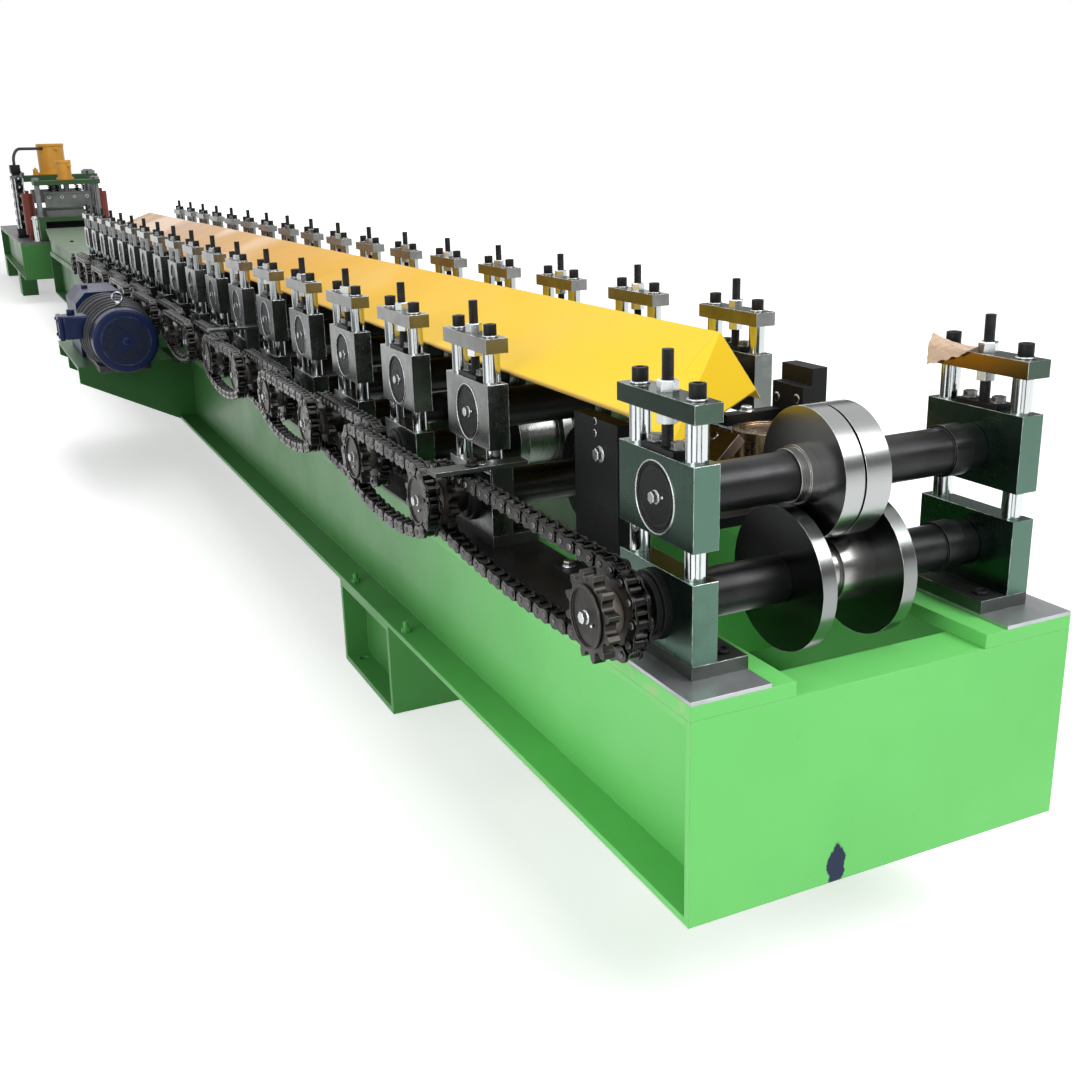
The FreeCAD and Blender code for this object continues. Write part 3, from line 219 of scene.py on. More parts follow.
def sealed(piece, weld=0.0):
    # joins loose edges, closes open ends and turns every face outwards
    activate(piece)
    bpy.ops.object.mode_set(mode="EDIT")
    bpy.ops.mesh.select_all(action="SELECT")
    if weld:
        bpy.ops.mesh.remove_doubles(threshold=weld)
    bpy.ops.mesh.fill_holes(sides=0)
    bpy.ops.mesh.normals_make_consistent(inside=False)
    leaveEdit()
    return piece


def joined(name, pieces):
    clearSelection()
    for piece in pieces:
        piece.select_set(True)
    bpy.context.view_layer.objects.active = pieces[0]
    bpy.ops.object.join()
    return named(bpy.context.object, name)


def assembled(name, pieces):
    return smoothed(joined(name, pieces), 40)


def copied(master, placing):
    twin = master.copy()
    twin.data = master.data.copy()
    twin.data.transform(placing)
    bpy.context.scene.collection.objects.link(twin)
    return twin


def spread(name, master, placings):
    piece = joined(name, [copied(master, placing) for placing in placings])
    bpy.data.objects.remove(master)
    return piece


def shifted(x, y, z):
    return Matrix.Translation((x, y, z))


def turnedBy(angle, axis):
    return Matrix.Rotation(angle, 4, axis)


def at(x, y, z, turn=0.0, axis="Z"):
    return shifted(x, y, z) @ turnedBy(turn, axis)


def tinted(piece, finish):
    piece.data.materials.clear()
    piece.data.materials.append(materials[finish])
    return piece


def dress(piece, finish, *replaced, body=frameBody, mixed=False):
    # a mixed piece keeps the materials it has already, and its finish is not applied
    if not mixed:
        tinted(piece, finish)
    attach(piece, body)
    if replaced:
        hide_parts(*replaced)
    return piece


# Shader helpers and groups
def feed(tree, socket, value):
    if isinstance(value, bpy.types.NodeSocket):
        tree.links.new(value, socket)
    elif socket.type == "RGBA" and len(value) == 3:
        socket.default_value = (*value, 1)
    else:
        socket.default_value = value


def node(tree, kind, sockets=None, **props):
    made = tree.nodes.new(kind)
    for key, value in props.items():
        setattr(made, key, value)
    for key, value in (sockets or {}).items():
        feed(tree, made.inputs[key], value)
    return made


def newGroup(name, inputs, outputs):
    # every group reads a Vector; its other inputs are numbers, or vectors where the default is a tuple
    tree = bpy.data.node_groups.new(name, "ShaderNodeTree")
    tree.interface.new_socket(name="Vector", in_out="INPUT", socket_type="NodeSocketVector")
    for label, value in inputs.items():
        kind = "NodeSocketVector" if isinstance(value, tuple) else "NodeSocketFloat"
        tree.interface.new_socket(name=label, in_out="INPUT", socket_type=kind).default_value = value
    for label in outputs:
        kind = "NodeSocketVector" if label == "Normal" else "NodeSocketFloat"
        tree.interface.new_socket(name=label, in_out="OUTPUT", socket_type=kind)
    return tree, tree.nodes.new("NodeGroupInput").outputs, tree.nodes.new("NodeGroupOutput").inputs


def calc(tree, operation, first, second=0.0, clamp=False):
    return node(tree, "ShaderNodeMath", {0: first, 1: second}, operation=operation, use_clamp=clamp).outputs[0]


def times(tree, first, *others):
    for other in others:
        first = calc(tree, "MULTIPLY", first, other)
    return first


def axes(tree, vector):
    return node(tree, "ShaderNodeSeparateXYZ", {0: vector}).outputs


def ranged(tree, value, low, high, toLow=0.0, toHigh=1.0):
    return node(tree, "ShaderNodeMapRange", {"Value": value, "From Min": low, "From Max": high, "To Min": toLow,
        "To Max": toHigh}).outputs[0]


def closeTo(tree, value, middle, outer, inner):
    # 0 beyond the outer distance from the middle, 1 within the inner one
    return ranged(tree, calc(tree, "ABSOLUTE", calc(tree, "SUBTRACT", value, middle)), outer, inner)


def noise(tree, vector, scale, detail=4.0, rough=0.55):
    return node(tree, "ShaderNodeTexNoise", {"Vector": vector, "Scale": scale, "Detail": detail,
        "Roughness": rough}).outputs["Fac"]


def edgeWearGroup():
    # a bright rim where a rounded edge turns, broken up by noise
    tree, given, result = newGroup("edgeWear", {"Radius": 0.002, "Breakup": 60.0, "Amount": 1.0}, ("Edge", "Normal"))
    soft = node(tree, "ShaderNodeBevel", {"Radius": given["Radius"]}, samples=4)
    flat = node(tree, "ShaderNodeNewGeometry")
    turn = node(tree, "ShaderNodeVectorMath", {0: soft.outputs[0], 1: flat.outputs["Normal"]},
        operation="DOT_PRODUCT").outputs["Value"]
    edge = ranged(tree, turn, 0.995, 0.86)
    broken = ranged(tree, noise(tree, given["Vector"], given["Breakup"]), 0.36, 0.62)
    worn = calc(tree, "MULTIPLY", times(tree, edge, broken), given["Amount"], clamp=True)
    feed(tree, result["Edge"], worn)
    feed(tree, result["Normal"], soft.outputs[0])
    return tree


def scratchGroup():
    # fine marks that run along one axis; Stretch shortens the noise across it
    tree, given, result = newGroup("scratches", {"Stretch": (1, 1, 1), "Scale": 40.0}, ("Marks", "Tone"))
    drawn = node(tree, "ShaderNodeMapping", {"Vector": given["Vector"], "Scale": given["Stretch"]}).outputs[0]
    fine = noise(tree, drawn, given["Scale"], 3.0, 0.7)
    wide = noise(tree, drawn, times(tree, given["Scale"], 0.13), 2.0)
    feed(tree, result["Marks"], ranged(tree, fine, 0.3, 0.7))
    feed(tree, result["Tone"], ranged(tree, wide, 0.32, 0.68))
    return tree


def grimeGroup():
    # cloudy dirt: Level sets how much of the surface it covers
    tree, given, result = newGroup("grime", {"Scale": 5.0, "Level": 0.5}, ("Dirt", "Cloud"))
    cloud = noise(tree, given["Vector"], given["Scale"], 8.0, 0.62)
    low = calc(tree, "SUBTRACT", 0.78, given["Level"])
    feed(tree, result["Dirt"], ranged(tree, cloud, low, calc(tree, "ADD", low, 0.3)))
    feed(tree, result["Cloud"], cloud)
    return tree


def turningGroup():
    # rings round a shaft along Y: the nearest shaft is found by repeating X at the pitch
    tree, given, result = newGroup("turning", {"Shaft X": 0.0, "Shaft Z": 0.0, "Pitch": 100.0}, ("Rings", "Glint"))
    parts = axes(tree, given["Vector"])
    half = times(tree, given["Pitch"], 0.5)
    away = calc(tree, "ADD", calc(tree, "SUBTRACT", parts[0], given["Shaft X"]), half)
    sideways = calc(tree, "SUBTRACT", calc(tree, "FLOORED_MODULO", away, given["Pitch"]), half)
    upward = calc(tree, "SUBTRACT", parts[2], given["Shaft Z"])
    squares = calc(tree, "ADD", times(tree, sideways, sideways), times(tree, upward, upward))
    radius = calc(tree, "SQRT", squares)
    groove = node(tree, "ShaderNodeCombineXYZ", {0: times(tree, radius, 900.0),
        1: times(tree, parts[1], 900.0)}).outputs[0]
    feed(tree, result["Rings"], noise(tree, groove, 1.0, 2.0, 0.8))
    # Glint: a painted highlight, bands that run light and dark with the angle round the shaft
    angle = calc(tree, "ARCTAN2", upward, sideways)
    feed(tree, result["Glint"], calc(tree, "SINE", times(tree, angle, 2.0)))
    return tree


groups = {"edgeWear": edgeWearGroup(), "scratches": scratchGroup(), "grime": grimeGroup(), "turning": turningGroup()}


def useGroup(tree, name, coords, **sockets):
    made = tree.nodes.new("ShaderNodeGroup")
    made.node_tree = groups[name]
    feed(tree, made.inputs["Vector"], coords)
    for key, value in sockets.items():
        feed(tree, made.inputs[key.replace("_", " ")], value)
    return made.outputs


def blended(tree, share, first, second):
    return node(tree, "ShaderNodeMix", {0: share, 6: first, 7: second}, data_type="RGBA").outputs[2]


def bumped(tree, height, strength, distance, normal):
    return node(tree, "ShaderNodeBump", {"Height": height, "Strength": strength, "Distance": distance,
        "Normal": normal}).outputs[0]


def darker(color, share):
    return tuple(value * share for value in color)


def startMaterial(name, **constants):
    made = bpy.data.materials.new(name)
    made.use_nodes = True
    tree = made.node_tree
    shader = tree.nodes["Principled BSDF"]
    for key, value in constants.items():
        shader.inputs[key.replace("_", " ")].default_value = value
    coords = node(tree, "ShaderNodeTexCoord").outputs["Object"]
    return made, tree, shader.inputs, coords


def paint(name, base, dust, roughness, wear, dirtLevel, coat=0.1, amount=0.5, extra=None, shine=0.35):
    made, tree, shader, coords = startMaterial(name, Coat_Roughness=0.12, IOR=1.45, Specular_IOR_Level=shine)
    edge = useGroup(tree, "edgeWear", coords, Radius=0.0025, Breakup=25.0, Amount=amount)
    dirt = useGroup(tree, "grime", coords, Scale=2.2, Level=dirtLevel)
    specks = useGroup(tree, "grime", coords, Scale=38.0, Level=0.12)
    color = blended(tree, times(tree, dirt["Dirt"], 0.5), base, dust)
    color = blended(tree, times(tree, specks["Dirt"], 0.7), color, darker(base, 0.45))
    if extra:
        color = extra(tree, coords, color)
    feed(tree, shader["Base Color"], blended(tree, edge["Edge"], color, wear))
    rough = ranged(tree, dirt["Cloud"], 0.3, 0.7, roughness - 0.08, roughness + 0.14)
    feed(tree, shader["Roughness"], rough)
    feed(tree, shader["Coat Weight"], ranged(tree, dirt["Dirt"], 0.0, 1.0, coat, coat * 0.4))
    soft = bumped(tree, noise(tree, coords, 160.0, 2.0), 0.12, 0.0006, edge["Normal"])
    feed(tree, shader["Normal"], bumped(tree, noise(tree, coords, 3.0, 1.0), 0.35, 0.012, soft))
    return made


def steel(name, base, bright, roughness, stretch=(1, 1, 1), scale=60.0, metallic=1.0, radius=0.0016, amount=0.85,
        level=0.35, stain=(0.03, 0.03, 0.03), extra=None, grain=1.0, shine=0.5):
    made, tree, shader, coords = startMaterial(name, Specular_IOR_Level=shine)
    edge = useGroup(tree, "edgeWear", coords, Radius=radius, Breakup=45.0, Amount=amount)
    marks = useGroup(tree, "scratches", coords, Stretch=stretch, Scale=scale)
    dirt = useGroup(tree, "grime", coords, Scale=7.0, Level=level)
    lighter = tuple(min(1.0, value * 1.8) for value in base)
    color = blended(tree, times(tree, marks["Tone"], 0.3 * grain), base, lighter)
    color = blended(tree, times(tree, dirt["Dirt"], 0.5), color, stain)
    if extra:
        color = extra(tree, coords, color)
    feed(tree, shader["Base Color"], blended(tree, edge["Edge"], color, bright))
    feed(tree, shader["Metallic"], ranged(tree, edge["Edge"], 0.0, 1.0, metallic, 1.0))
    rough = ranged(tree, marks["Marks"], 0.0, 1.0, roughness - 0.07 * grain, roughness + 0.1 * grain)
    feed(tree, shader["Roughness"], calc(tree, "ADD", rough, times(tree, dirt["Dirt"], 0.2), clamp=True))
    feed(tree, shader["Normal"], bumped(tree, marks["Marks"], 0.15 * grain, 0.0003, edge["Normal"]))
    return made


def turned(name, x, z, pitch, face, rim, roughness=0.22, fine=1.0):
    made, tree, shader, coords = startMaterial(name, Metallic=1.0)
    lathe = useGroup(tree, "turning", coords, Shaft_X=x, Shaft_Z=z, Pitch=pitch)
    edge = useGroup(tree, "edgeWear", coords, Radius=0.0012, Breakup=30.0, Amount=0.7)
    normal = node(tree, "ShaderNodeTexCoord").outputs["Normal"]
    # the faces take a darker colour than the rims: partly the duller turned finish of the faces, partly a painted dark
    # reflection
    onFace = ranged(tree, calc(tree, "ABSOLUTE", axes(tree, normal)[1]), 0.55, 0.8)
    # painted highlight: the Glint bands lighten the faces towards the rim colour
    fan = ranged(tree, lathe["Glint"], -1.0, 1.0, 0.0, 0.25)
    color = blended(tree, onFace, rim, blended(tree, fan, face, rim))
    color = blended(tree, times(tree, lathe["Rings"], 0.22 * fine), color, darker(rim, 0.55))
    feed(tree, shader["Base Color"], blended(tree, edge["Edge"], color, (0.95, 0.95, 0.94)))
    rough = ranged(tree, lathe["Rings"], 0.3, 0.7, roughness, roughness + 0.12 * fine)
    feed(tree, shader["Roughness"], rough)
    feed(tree, shader["Normal"], bumped(tree, lathe["Rings"], 0.2 * fine, 0.0001, edge["Normal"]))
    return made


def plain(name, base, roughness, metallic, scale, bump=0.2, tint=None):
    made, tree, shader, coords = startMaterial(name, Metallic=metallic)
    dirt = useGroup(tree, "grime", coords, Scale=scale, Level=0.4)
    feed(tree, shader["Base Color"], blended(tree, dirt["Dirt"], base, tint or darker(base, 0.55)))
    rough = ranged(tree, dirt["Cloud"], 0.3, 0.7, roughness - 0.08, roughness + 0.1)
    feed(tree, shader["Roughness"], rough)
    edge = useGroup(tree, "edgeWear", coords, Radius=0.0008, Breakup=80.0, Amount=0.0)
    feed(tree, shader["Normal"], bumped(tree, dirt["Cloud"], bump, 0.0005, edge["Normal"]))
    return made


def greenChipsAndPaintedShade(tree, coords, color):
    # chipped pale primer along the left top edge of the near end, a dark chip low on the end plate, and painted shade
    # that darkens the green towards the far end
    parts = axes(tree, coords)
    near = ranged(tree, parts[0], nearEnd - 0.75, nearEnd - 0.05)
    edgeUp = closeTo(tree, parts[2], railTop - 0.006, 0.026, 0.010)
    left = ranged(tree, parts[1], -0.339, -0.3445)
    flakes = ranged(tree, noise(tree, coords, 34.0, 5.0, 0.7), 0.5, 0.58)
    color = blended(tree, times(tree, near, edgeUp, left, flakes, 0.7), color, (0.33, 0.50, 0.20))
    # painted shade: the green darkens away from the near end, and less so again past the press bed
    shade = calc(tree, "ADD", ranged(tree, parts[0], 0.95, 0.1, 0.0, 0.64),
        ranged(tree, parts[0], 0.1, -2.2, 0.0, 0.26))
    lighter = ranged(tree, parts[0], -8.5, -9.9, 1.0, 0.86)
    color = blended(tree, times(tree, shade, lighter), color, (0.016, 0.066, 0.016))
    away = node(tree, "ShaderNodeVectorMath", {0: coords, 1: (nearEnd, -0.088, 0.250)},
        operation="SUBTRACT").outputs[0]
    squeezed = node(tree, "ShaderNodeVectorMath", {0: away, 1: (20.0, 60.0, 27.0)}, operation="MULTIPLY").outputs[0]
    reach = node(tree, "ShaderNodeVectorMath", {0: squeezed}, operation="LENGTH").outputs["Value"]
    ragged = calc(tree, "ADD", reach, times(tree, noise(tree, coords, 60.0), 0.9))
    return blended(tree, ranged(tree, ragged, 1.5, 1.38), color, (0.006, 0.014, 0.05))


def hubPaintedHighlight(tree, coords, color):
    # painted highlight: the sprockets' hub band between the two chains is painted bright at the near end and dim
    # further back
    parts = axes(tree, coords)
    gleam = blended(tree, ranged(tree, parts[0], nearEnd - 0.3, 0.2), (0.62, 0.55, 0.48), (0.15, 0.14, 0.13))
    return blended(tree, closeTo(tree, parts[1], -0.387, 0.0112, 0.0105), color, gleam)


def byStation(tree, coords, color, tone, scuff):
    # the first stands are oiled dark green, the later ones are dry grey with scuffs
    dry = ranged(tree, axes(tree, coords)[0], nearEnd - 0.30, nearEnd - 0.55)
    rubbed = ranged(tree, noise(tree, coords, 11.0, 6.0, 0.7), 0.42, 0.62, 0.0, 0.7)
    return blended(tree, dry, color, blended(tree, rubbed, tone, scuff))


def blockGrey(tree, coords, color):
    return byStation(tree, coords, color, (0.12, 0.135, 0.128), (0.25, 0.26, 0.25))


def capGrey(tree, coords, color):
    # painted reflection: the near right cap's inner face is painted brown where it faces the yellow cover
    color = byStation(tree, coords, color, (0.15, 0.155, 0.148), (0.23, 0.232, 0.22))
    parts = axes(tree, coords)
    paintedLightMask = times(tree, closeTo(tree, parts[1], 0.2655, 0.0016, 0.0008), ranged(tree, parts[0], 1.20, 1.22),
        ranged(tree, parts[0], 1.46, 1.36, 0.35, 1.0))
    return blended(tree, paintedLightMask, color, (0.26, 0.155, 0.075))


def farPaintedShade(tree, coords, color):
    # painted shade: the bright parts of the later stands are painted darker with distance, less so towards the presses
    along = axes(tree, coords)[0]
    paintedLightMask = times(tree, ranged(tree, along, 0.9, -3.0, 0.0, 0.9), ranged(tree, along, -8.0, -9.5, 1.0, 0.2))
    return blended(tree, paintedLightMask, color, (0.11, 0.12, 0.12))


def plateWear(tree, coords, color):
    # the strips are bare and bright at the near end, oily black under the chains
    oily = ranged(tree, axes(tree, coords)[0], nearEnd - 0.16, nearEnd - 0.36)
    return blended(tree, oily, color, (0.030, 0.030, 0.030))


def coverFade(tree, coords, color):
    # deeper orange along the middle, pale tan at the far end with painted glare highlights, a brown strip along the
    # lower edge, and a faint crease painted darker as shade
    parts = axes(tree, coords)
    color = blended(tree, ranged(tree, parts[0], 1.05, -1.2), color, (0.58, 0.30, 0.016))
    color = blended(tree, ranged(tree, parts[0], -1.2, -3.6), color, (0.50, 0.335, 0.225))
    # painted highlight: pale glare patches over the far part of the sheet
    glare = times(tree, ranged(tree, noise(tree, coords, 1.3, 2.0), 0.47, 0.60),
        ranged(tree, parts[0], -1.6, -2.6, 0.0, 0.7))
    color = blended(tree, glare, color, (0.78, 0.62, 0.50))
    rubbed = ranged(tree, parts[1], -0.243, -0.2475)
    color = blended(tree, times(tree, rubbed, 0.8), color, (0.30, 0.17, 0.05))
    # painted shade along a faint crease
    slope = calc(tree, "ADD", times(tree, parts[0], 1.35), parts[1])
    creaseShade = closeTo(tree, slope, 1.392, 0.0022, 0.0006)
    patch = ranged(tree, noise(tree, coords, 14.0), 0.40, 0.55)
    return blended(tree, times(tree, creaseShade, patch, 0.5), color, (0.45, 0.28, 0.03))


def lampBlack(tree, coords, color):
    # oil film in slow clouds
    cloud = ranged(tree, noise(tree, coords, 9.0, 3.0), 0.45, 0.62, 0.0, 0.5)
    return blended(tree, cloud, color, (0.034, 0.034, 0.036))


steelWhite = (0.86, 0.88, 0.87)
firstX, nextX, gap = stationX(1), stationX(2), layout["gap"]
alone = 100.0  # a pitch so long that a shaft is the only one
materials = {
    "green": paint("applePaint", (0.148, 0.575, 0.138), (0.120, 0.47, 0.11), 0.38, (0.42, 0.70, 0.38), 0.30,
        amount=0.45, extra=greenChipsAndPaintedShade, shine=0.24),
    "deepGreen": paint("pressPaint", (0.014, 0.070, 0.014), (0.02, 0.045, 0.018), 0.4, (0.12, 0.24, 0.11), 0.4),
    "yellow": paint("coverPaint", (0.710, 0.468, 0.012), (0.65, 0.41, 0.018), 0.5, (0.75, 0.62, 0.25), 0.2, coat=0.0,
        amount=0.3, extra=coverFade, shine=0.12),
    # painted shade: the bracket is painted a much darker green than the bed, for the shade it sits in beside the motor
    "bracket": paint("bracketShadedPaint", (0.018, 0.095, 0.018), (0.018, 0.06, 0.02), 0.42, (0.15, 0.36, 0.15), 0.3,
        amount=0.6, shine=0.25),
    "amber": paint("cylinderPaint", (0.72, 0.34, 0.035), (0.50, 0.24, 0.03), 0.38, (0.8, 0.6, 0.3), 0.3, amount=0.3),
    "navy": paint("motorPaint", (0.005, 0.011, 0.046), (0.005, 0.009, 0.024), 0.34, (0.12, 0.15, 0.25), 0.34,
        coat=0.06, amount=0.8, shine=0.15),
    "red": paint("oxidePaint", (0.20, 0.032, 0.018), (0.10, 0.03, 0.018), 0.42, (0.42, 0.20, 0.14), 0.4),
    "table": paint("tablePaint", (0.172, 0.230, 0.160), (0.125, 0.165, 0.115), 0.45, (0.4, 0.45, 0.38), 0.35,
        coat=0.0, shine=0.2),
    "ground": steel("groundBlocks", (0.078, 0.140, 0.108), steelWhite, 0.24, (1, 1, 0.08), 260.0, level=0.25,
        stain=(0.045, 0.07, 0.055), extra=blockGrey, grain=0.22),
    "cap": steel("capBlocks", (0.058, 0.090, 0.070), steelWhite, 0.22, (0.08, 1, 1), 240.0, level=0.25,
        stain=(0.05, 0.06, 0.05), extra=capGrey, grain=0.25),
    "bar": steel("brownedBar", (0.16, 0.115, 0.09), steelWhite, 0.26, (0.1, 1, 1), 200.0, level=0.3,
        stain=(0.06, 0.04, 0.03)),
    "columns": steel("polishedColumns", (0.46, 0.49, 0.49), (0.8, 0.8, 0.8), 0.12, (1, 1, 0.05), 120.0, level=0.15,
        stain=(0.2, 0.2, 0.18), extra=farPaintedShade),
    "black": steel("blackSteel", (0.008, 0.0085, 0.009), (0.15, 0.15, 0.15), 0.42, (1, 0.1, 1), 90.0, 0.1,
        amount=0.35, level=0.25, stain=(0.006, 0.006, 0.006), shine=0.16),
    "shaft": steel("blackSleeves", (0.014, 0.014, 0.015), (0.20, 0.20, 0.21), 0.30, (1, 0.06, 1), 70.0, 0.7,
        amount=0.6, level=0.3, stain=(0.010, 0.010, 0.010), extra=lampBlack),
    "plate": steel("darkPlate", (0.40, 0.42, 0.43), (0.36, 0.37, 0.38), 0.34, (0.1, 1, 1), metallic=0.85, level=0.3,
        stain=(0.16, 0.16, 0.15), extra=plateWear, grain=0.5),
    "foot": steel("darkFeet", (0.070, 0.078, 0.072), (0.5, 0.52, 0.5), 0.32, (0.1, 1, 1), metallic=0.85, level=0.4,
        stain=(0.025, 0.024, 0.02)),
    "chain": steel("oilyChain", (0.020, 0.020, 0.0195), (0.34, 0.34, 0.33), 0.15, scale=90.0, radius=0.0008,
        amount=0.55, level=0.4, stain=(0.006, 0.006, 0.006), grain=0.4),
    "sprocket": steel("oilySprocket", (0.050, 0.046, 0.042), (0.26, 0.25, 0.23), 0.26, radius=0.0015, amount=0.6,
        level=0.42, stain=(0.010, 0.010, 0.009), extra=hubPaintedHighlight, grain=0.5),
    "die": steel("dieSteel", (0.090, 0.100, 0.095), (0.4, 0.4, 0.4), 0.4, (1, 0.1, 1), metallic=0.85),
    "pin": steel("rubbedPins", (0.10, 0.095, 0.090), (0.42, 0.41, 0.39), 0.26, scale=90.0, level=0.5,
        stain=(0.03, 0.028, 0.025)),
    "zinc": steel("zincBolts", (0.56, 0.58, 0.59), (0.85, 0.85, 0.87), 0.26, scale=120.0, level=0.12,
        stain=(0.30, 0.29, 0.27), grain=0.3, extra=farPaintedShade),
    "dullZinc": steel("dullZinc", (0.16, 0.165, 0.165), (0.6, 0.6, 0.6), 0.3, scale=120.0, level=0.4,
        stain=(0.05, 0.048, 0.045), grain=0.4),
    "tanRoll": steel("brownedRoll", (0.42, 0.29, 0.17), (0.75, 0.72, 0.66), 0.22, (1, 1, 0.1), 120.0, level=0.3,
        stain=(0.12, 0.09, 0.06), grain=0.5),
    "spacer": turned("turnedSpacer", firstX, highAxis.z, alone, (0.26, 0.26, 0.25), (0.36, 0.36, 0.35), fine=0.3),
    "frontRolls": turned("turnedFrontRoll", firstX, highAxis.z, alone, (0.22, 0.225, 0.225), (0.36, 0.37, 0.37),
        fine=0.18),
    "frontLowRolls": turned("turnedFrontLow", firstX, lowAxis.z, alone, (0.060, 0.063, 0.061), (0.22, 0.235, 0.23),
        fine=0.18),
    "rolls": turned("turnedRolls", nextX, highAxis.z, gap, (0.10, 0.10, 0.10), (0.34, 0.35, 0.34), 0.2),
    "lowRolls": turned("turnedLowRolls", nextX, lowAxis.z, gap, (0.05, 0.05, 0.05), (0.26, 0.27, 0.26)),
    "iron": plain("castIron", (0.014, 0.016, 0.020), 0.45, 0.2, 90.0, 0.4),
    "rubber": plain("hoseRubber", (0.016, 0.013, 0.012), 0.5, 0.0, 50.0),
    "paper": plain("maskingPaper", (0.88, 0.68, 0.54), 0.7, 0.0, 18.0, 0.6, (0.66, 0.47, 0.33)),
}
print("materials made")

finishes = {
    "green": "bed_beams rails end_plates cross_members sleepers table_supports",
    "plate": "wear_strips",
    "foot": "stand_feet tie_bars cover_rests",
    "ground": "lower_blocks upper_blocks front_upper_blocks",
    "columns": "columns",
    "cap": "cap_plates",
    "black": "screw_retainers front_screw_retainers entry_guides valve_stack adjusting_screws"
             " front_adjusting_screws bearing_caps front_bearing_caps",
    "shaft": "upper_shafts lower_shafts front_upper_shaft front_lower_shaft",
    "rolls": "upper_rolls",
    "lowRolls": "lower_rolls",
    "frontRolls": "front_upper_rolls",
    "frontLowRolls": "front_lower_rolls",
    "spacer": "front_upper_spacers front_lower_spacer",
    "sprocket": "sprockets front_sprockets",
    "chain": "drive_chains drive_shaft",
    "bar": "guide_bar",
    "tanRoll": "guide_roller",
    "yellow": "cover_sheets",
    "bracket": "motor_bracket",
    "navy": "gearbox motor_fan_cover terminal_box",
    "iron": "motor_body",
    "table": "runout_table",
    "die": "press_bed_top lower_dies shear_upper_die punch_upper_die",
    "deepGreen": "press_decks press_heads",
    "dullZinc": "press_posts",
    "amber": "press_cylinders",
    "red": "side_cylinders",
    "rubber": "press_hose",
}
for finish, members in finishes.items():
    for member in members.split():
        for place in nodes[member].material_slots:
            place.material = materials[finish]

# Fasteners, each modelled once and copied
boltPlan = {"capHead": 0.012, "capHigh": 0.020, "washer": 0.0145, "washerThick": 0.003, "nut": 0.0155,
    "nutHigh": 0.015, "smallHead": 0.011, "smallHigh": 0.008, "smallWasher": 0.0125, "smallThick": 0.002,
    "apart": 0.030}


def socketScrew(name, radius, high):
    head = addDisc(name, radius, high, 20, radius * 0.09)
    return smoothed(sunk(head, (0, 0, 1), radius * 0.40, high * 0.5))


def hexHead(name, radius, high, placing=Matrix()):
    head = addDisc(name, radius, high, 6)
    pickFaces(head, lambda face: face.normal.z > 0.9)
    bpy.ops.mesh.inset(thickness=radius * 0.12)
    bpy.ops.transform.translate(value=(0, 0, high * 0.10))
    leaveEdit()
    return moved(head, placing)


def washer(name, radius, thick):
    return smoothed(addDisc(name, radius, thick, 24, thick * 0.25, 1))


def bothColumns(numbers, z):
    return [at(stationX(number) + shift * layout["columnOffset"], side * blockMiddle, z, 0.35 * number)
        for number in numbers for shift in (-1, 1) for side in (-1, 1)]


def bothSides(numbers, z, shift=0.0, turn=0.0):
    return [at(stationX(number) + shift, side * blockMiddle, z, turn + 0.4 * number) for number in numbers
        for side in (-1, 1)]


def bothBolts(numbers, z):
    return [place for shift in (-boltPlan["apart"], boltPlan["apart"]) for place in bothSides(numbers, z, shift)]


dress(spread("cap_washers", washer("washer", boltPlan["washer"], boltPlan["washerThick"]),
    bothColumns(every, capTop)), "zinc")
dress(spread("cap_screws", socketScrew("capScrew", boltPlan["capHead"], boltPlan["capHigh"]),
    bothColumns(every, capTop + boltPlan["washerThick"])), "black")
dress(spread("screw_nuts", hexHead("nut", boltPlan["nut"], boltPlan["nutHigh"]), bothSides(every, capTop) +
    bothSides(every, capLow - boltPlan["nutHigh"] * 1.1, turn=0.3)), "zinc")

threadPlan = {"radius": 0.009, "depth": 0.0012, "pitch": 0.003, "sides": 12, "weld": 0.00005}


def threadedRod(name, low, high):
    flank = threadPlan["pitch"] / 2
    crest = threadPlan["radius"]
    root = crest - threadPlan["depth"]
    clearSelection()
    slopes = []
    for start, end, middle in ((root, crest, 0.5), (crest, root, 1.5)):
        bpy.ops.mesh.primitive_cone_add(vertices=threadPlan["sides"], radius1=start, radius2=end, depth=flank,
            end_fill_type="NOTHING", location=(0, 0, flank * middle))
        slopes.append(settle(bpy.context.object))
    ridge = modified(joined(name, slopes), "ARRAY", count=int((high - low) / threadPlan["pitch"]),
        use_relative_offset=False, use_constant_offset=True, constant_offset_displace=(0, 0, threadPlan["pitch"]))
    return sealed(ridge, threadPlan["weld"])


for front, numbers, body in halves:
    dress(spread(front + "threaded_rods", threadedRod("rod", upperTop, screwTop), bothSides(numbers, upperTop)),
        "black", front + "adjusting_screws", body=body)

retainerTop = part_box("screw_retainers")[1].z
for front, numbers, body in halves:
    group = front + "retainer_bolts"
    bolts = spread(group, hexHead("bolt", boltPlan["smallHead"], boltPlan["smallHigh"]),
        bothBolts(numbers, retainerTop + boltPlan["smallThick"]))
    plates = spread(group + "_washers", washer("washer", boltPlan["smallWasher"], boltPlan["smallThick"]),
        bothBolts(numbers, retainerTop))
    dress(joined(group, [bolts, plates]), "dullZinc", body=body)

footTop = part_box("stand_feet")[1].z
footPlan = {"shift": 0.072, "y": 0.241, "head": 0.0125, "high": 0.006}
dress(spread("foot_screws", socketScrew("footScrew", footPlan["head"], footPlan["high"]),
    [at(stationX(number) + shift * footPlan["shift"], side * footPlan["y"], footTop) for number in every
    for shift in (-1, 1) for side in (-1, 1)]), "black")
print("fasteners made")

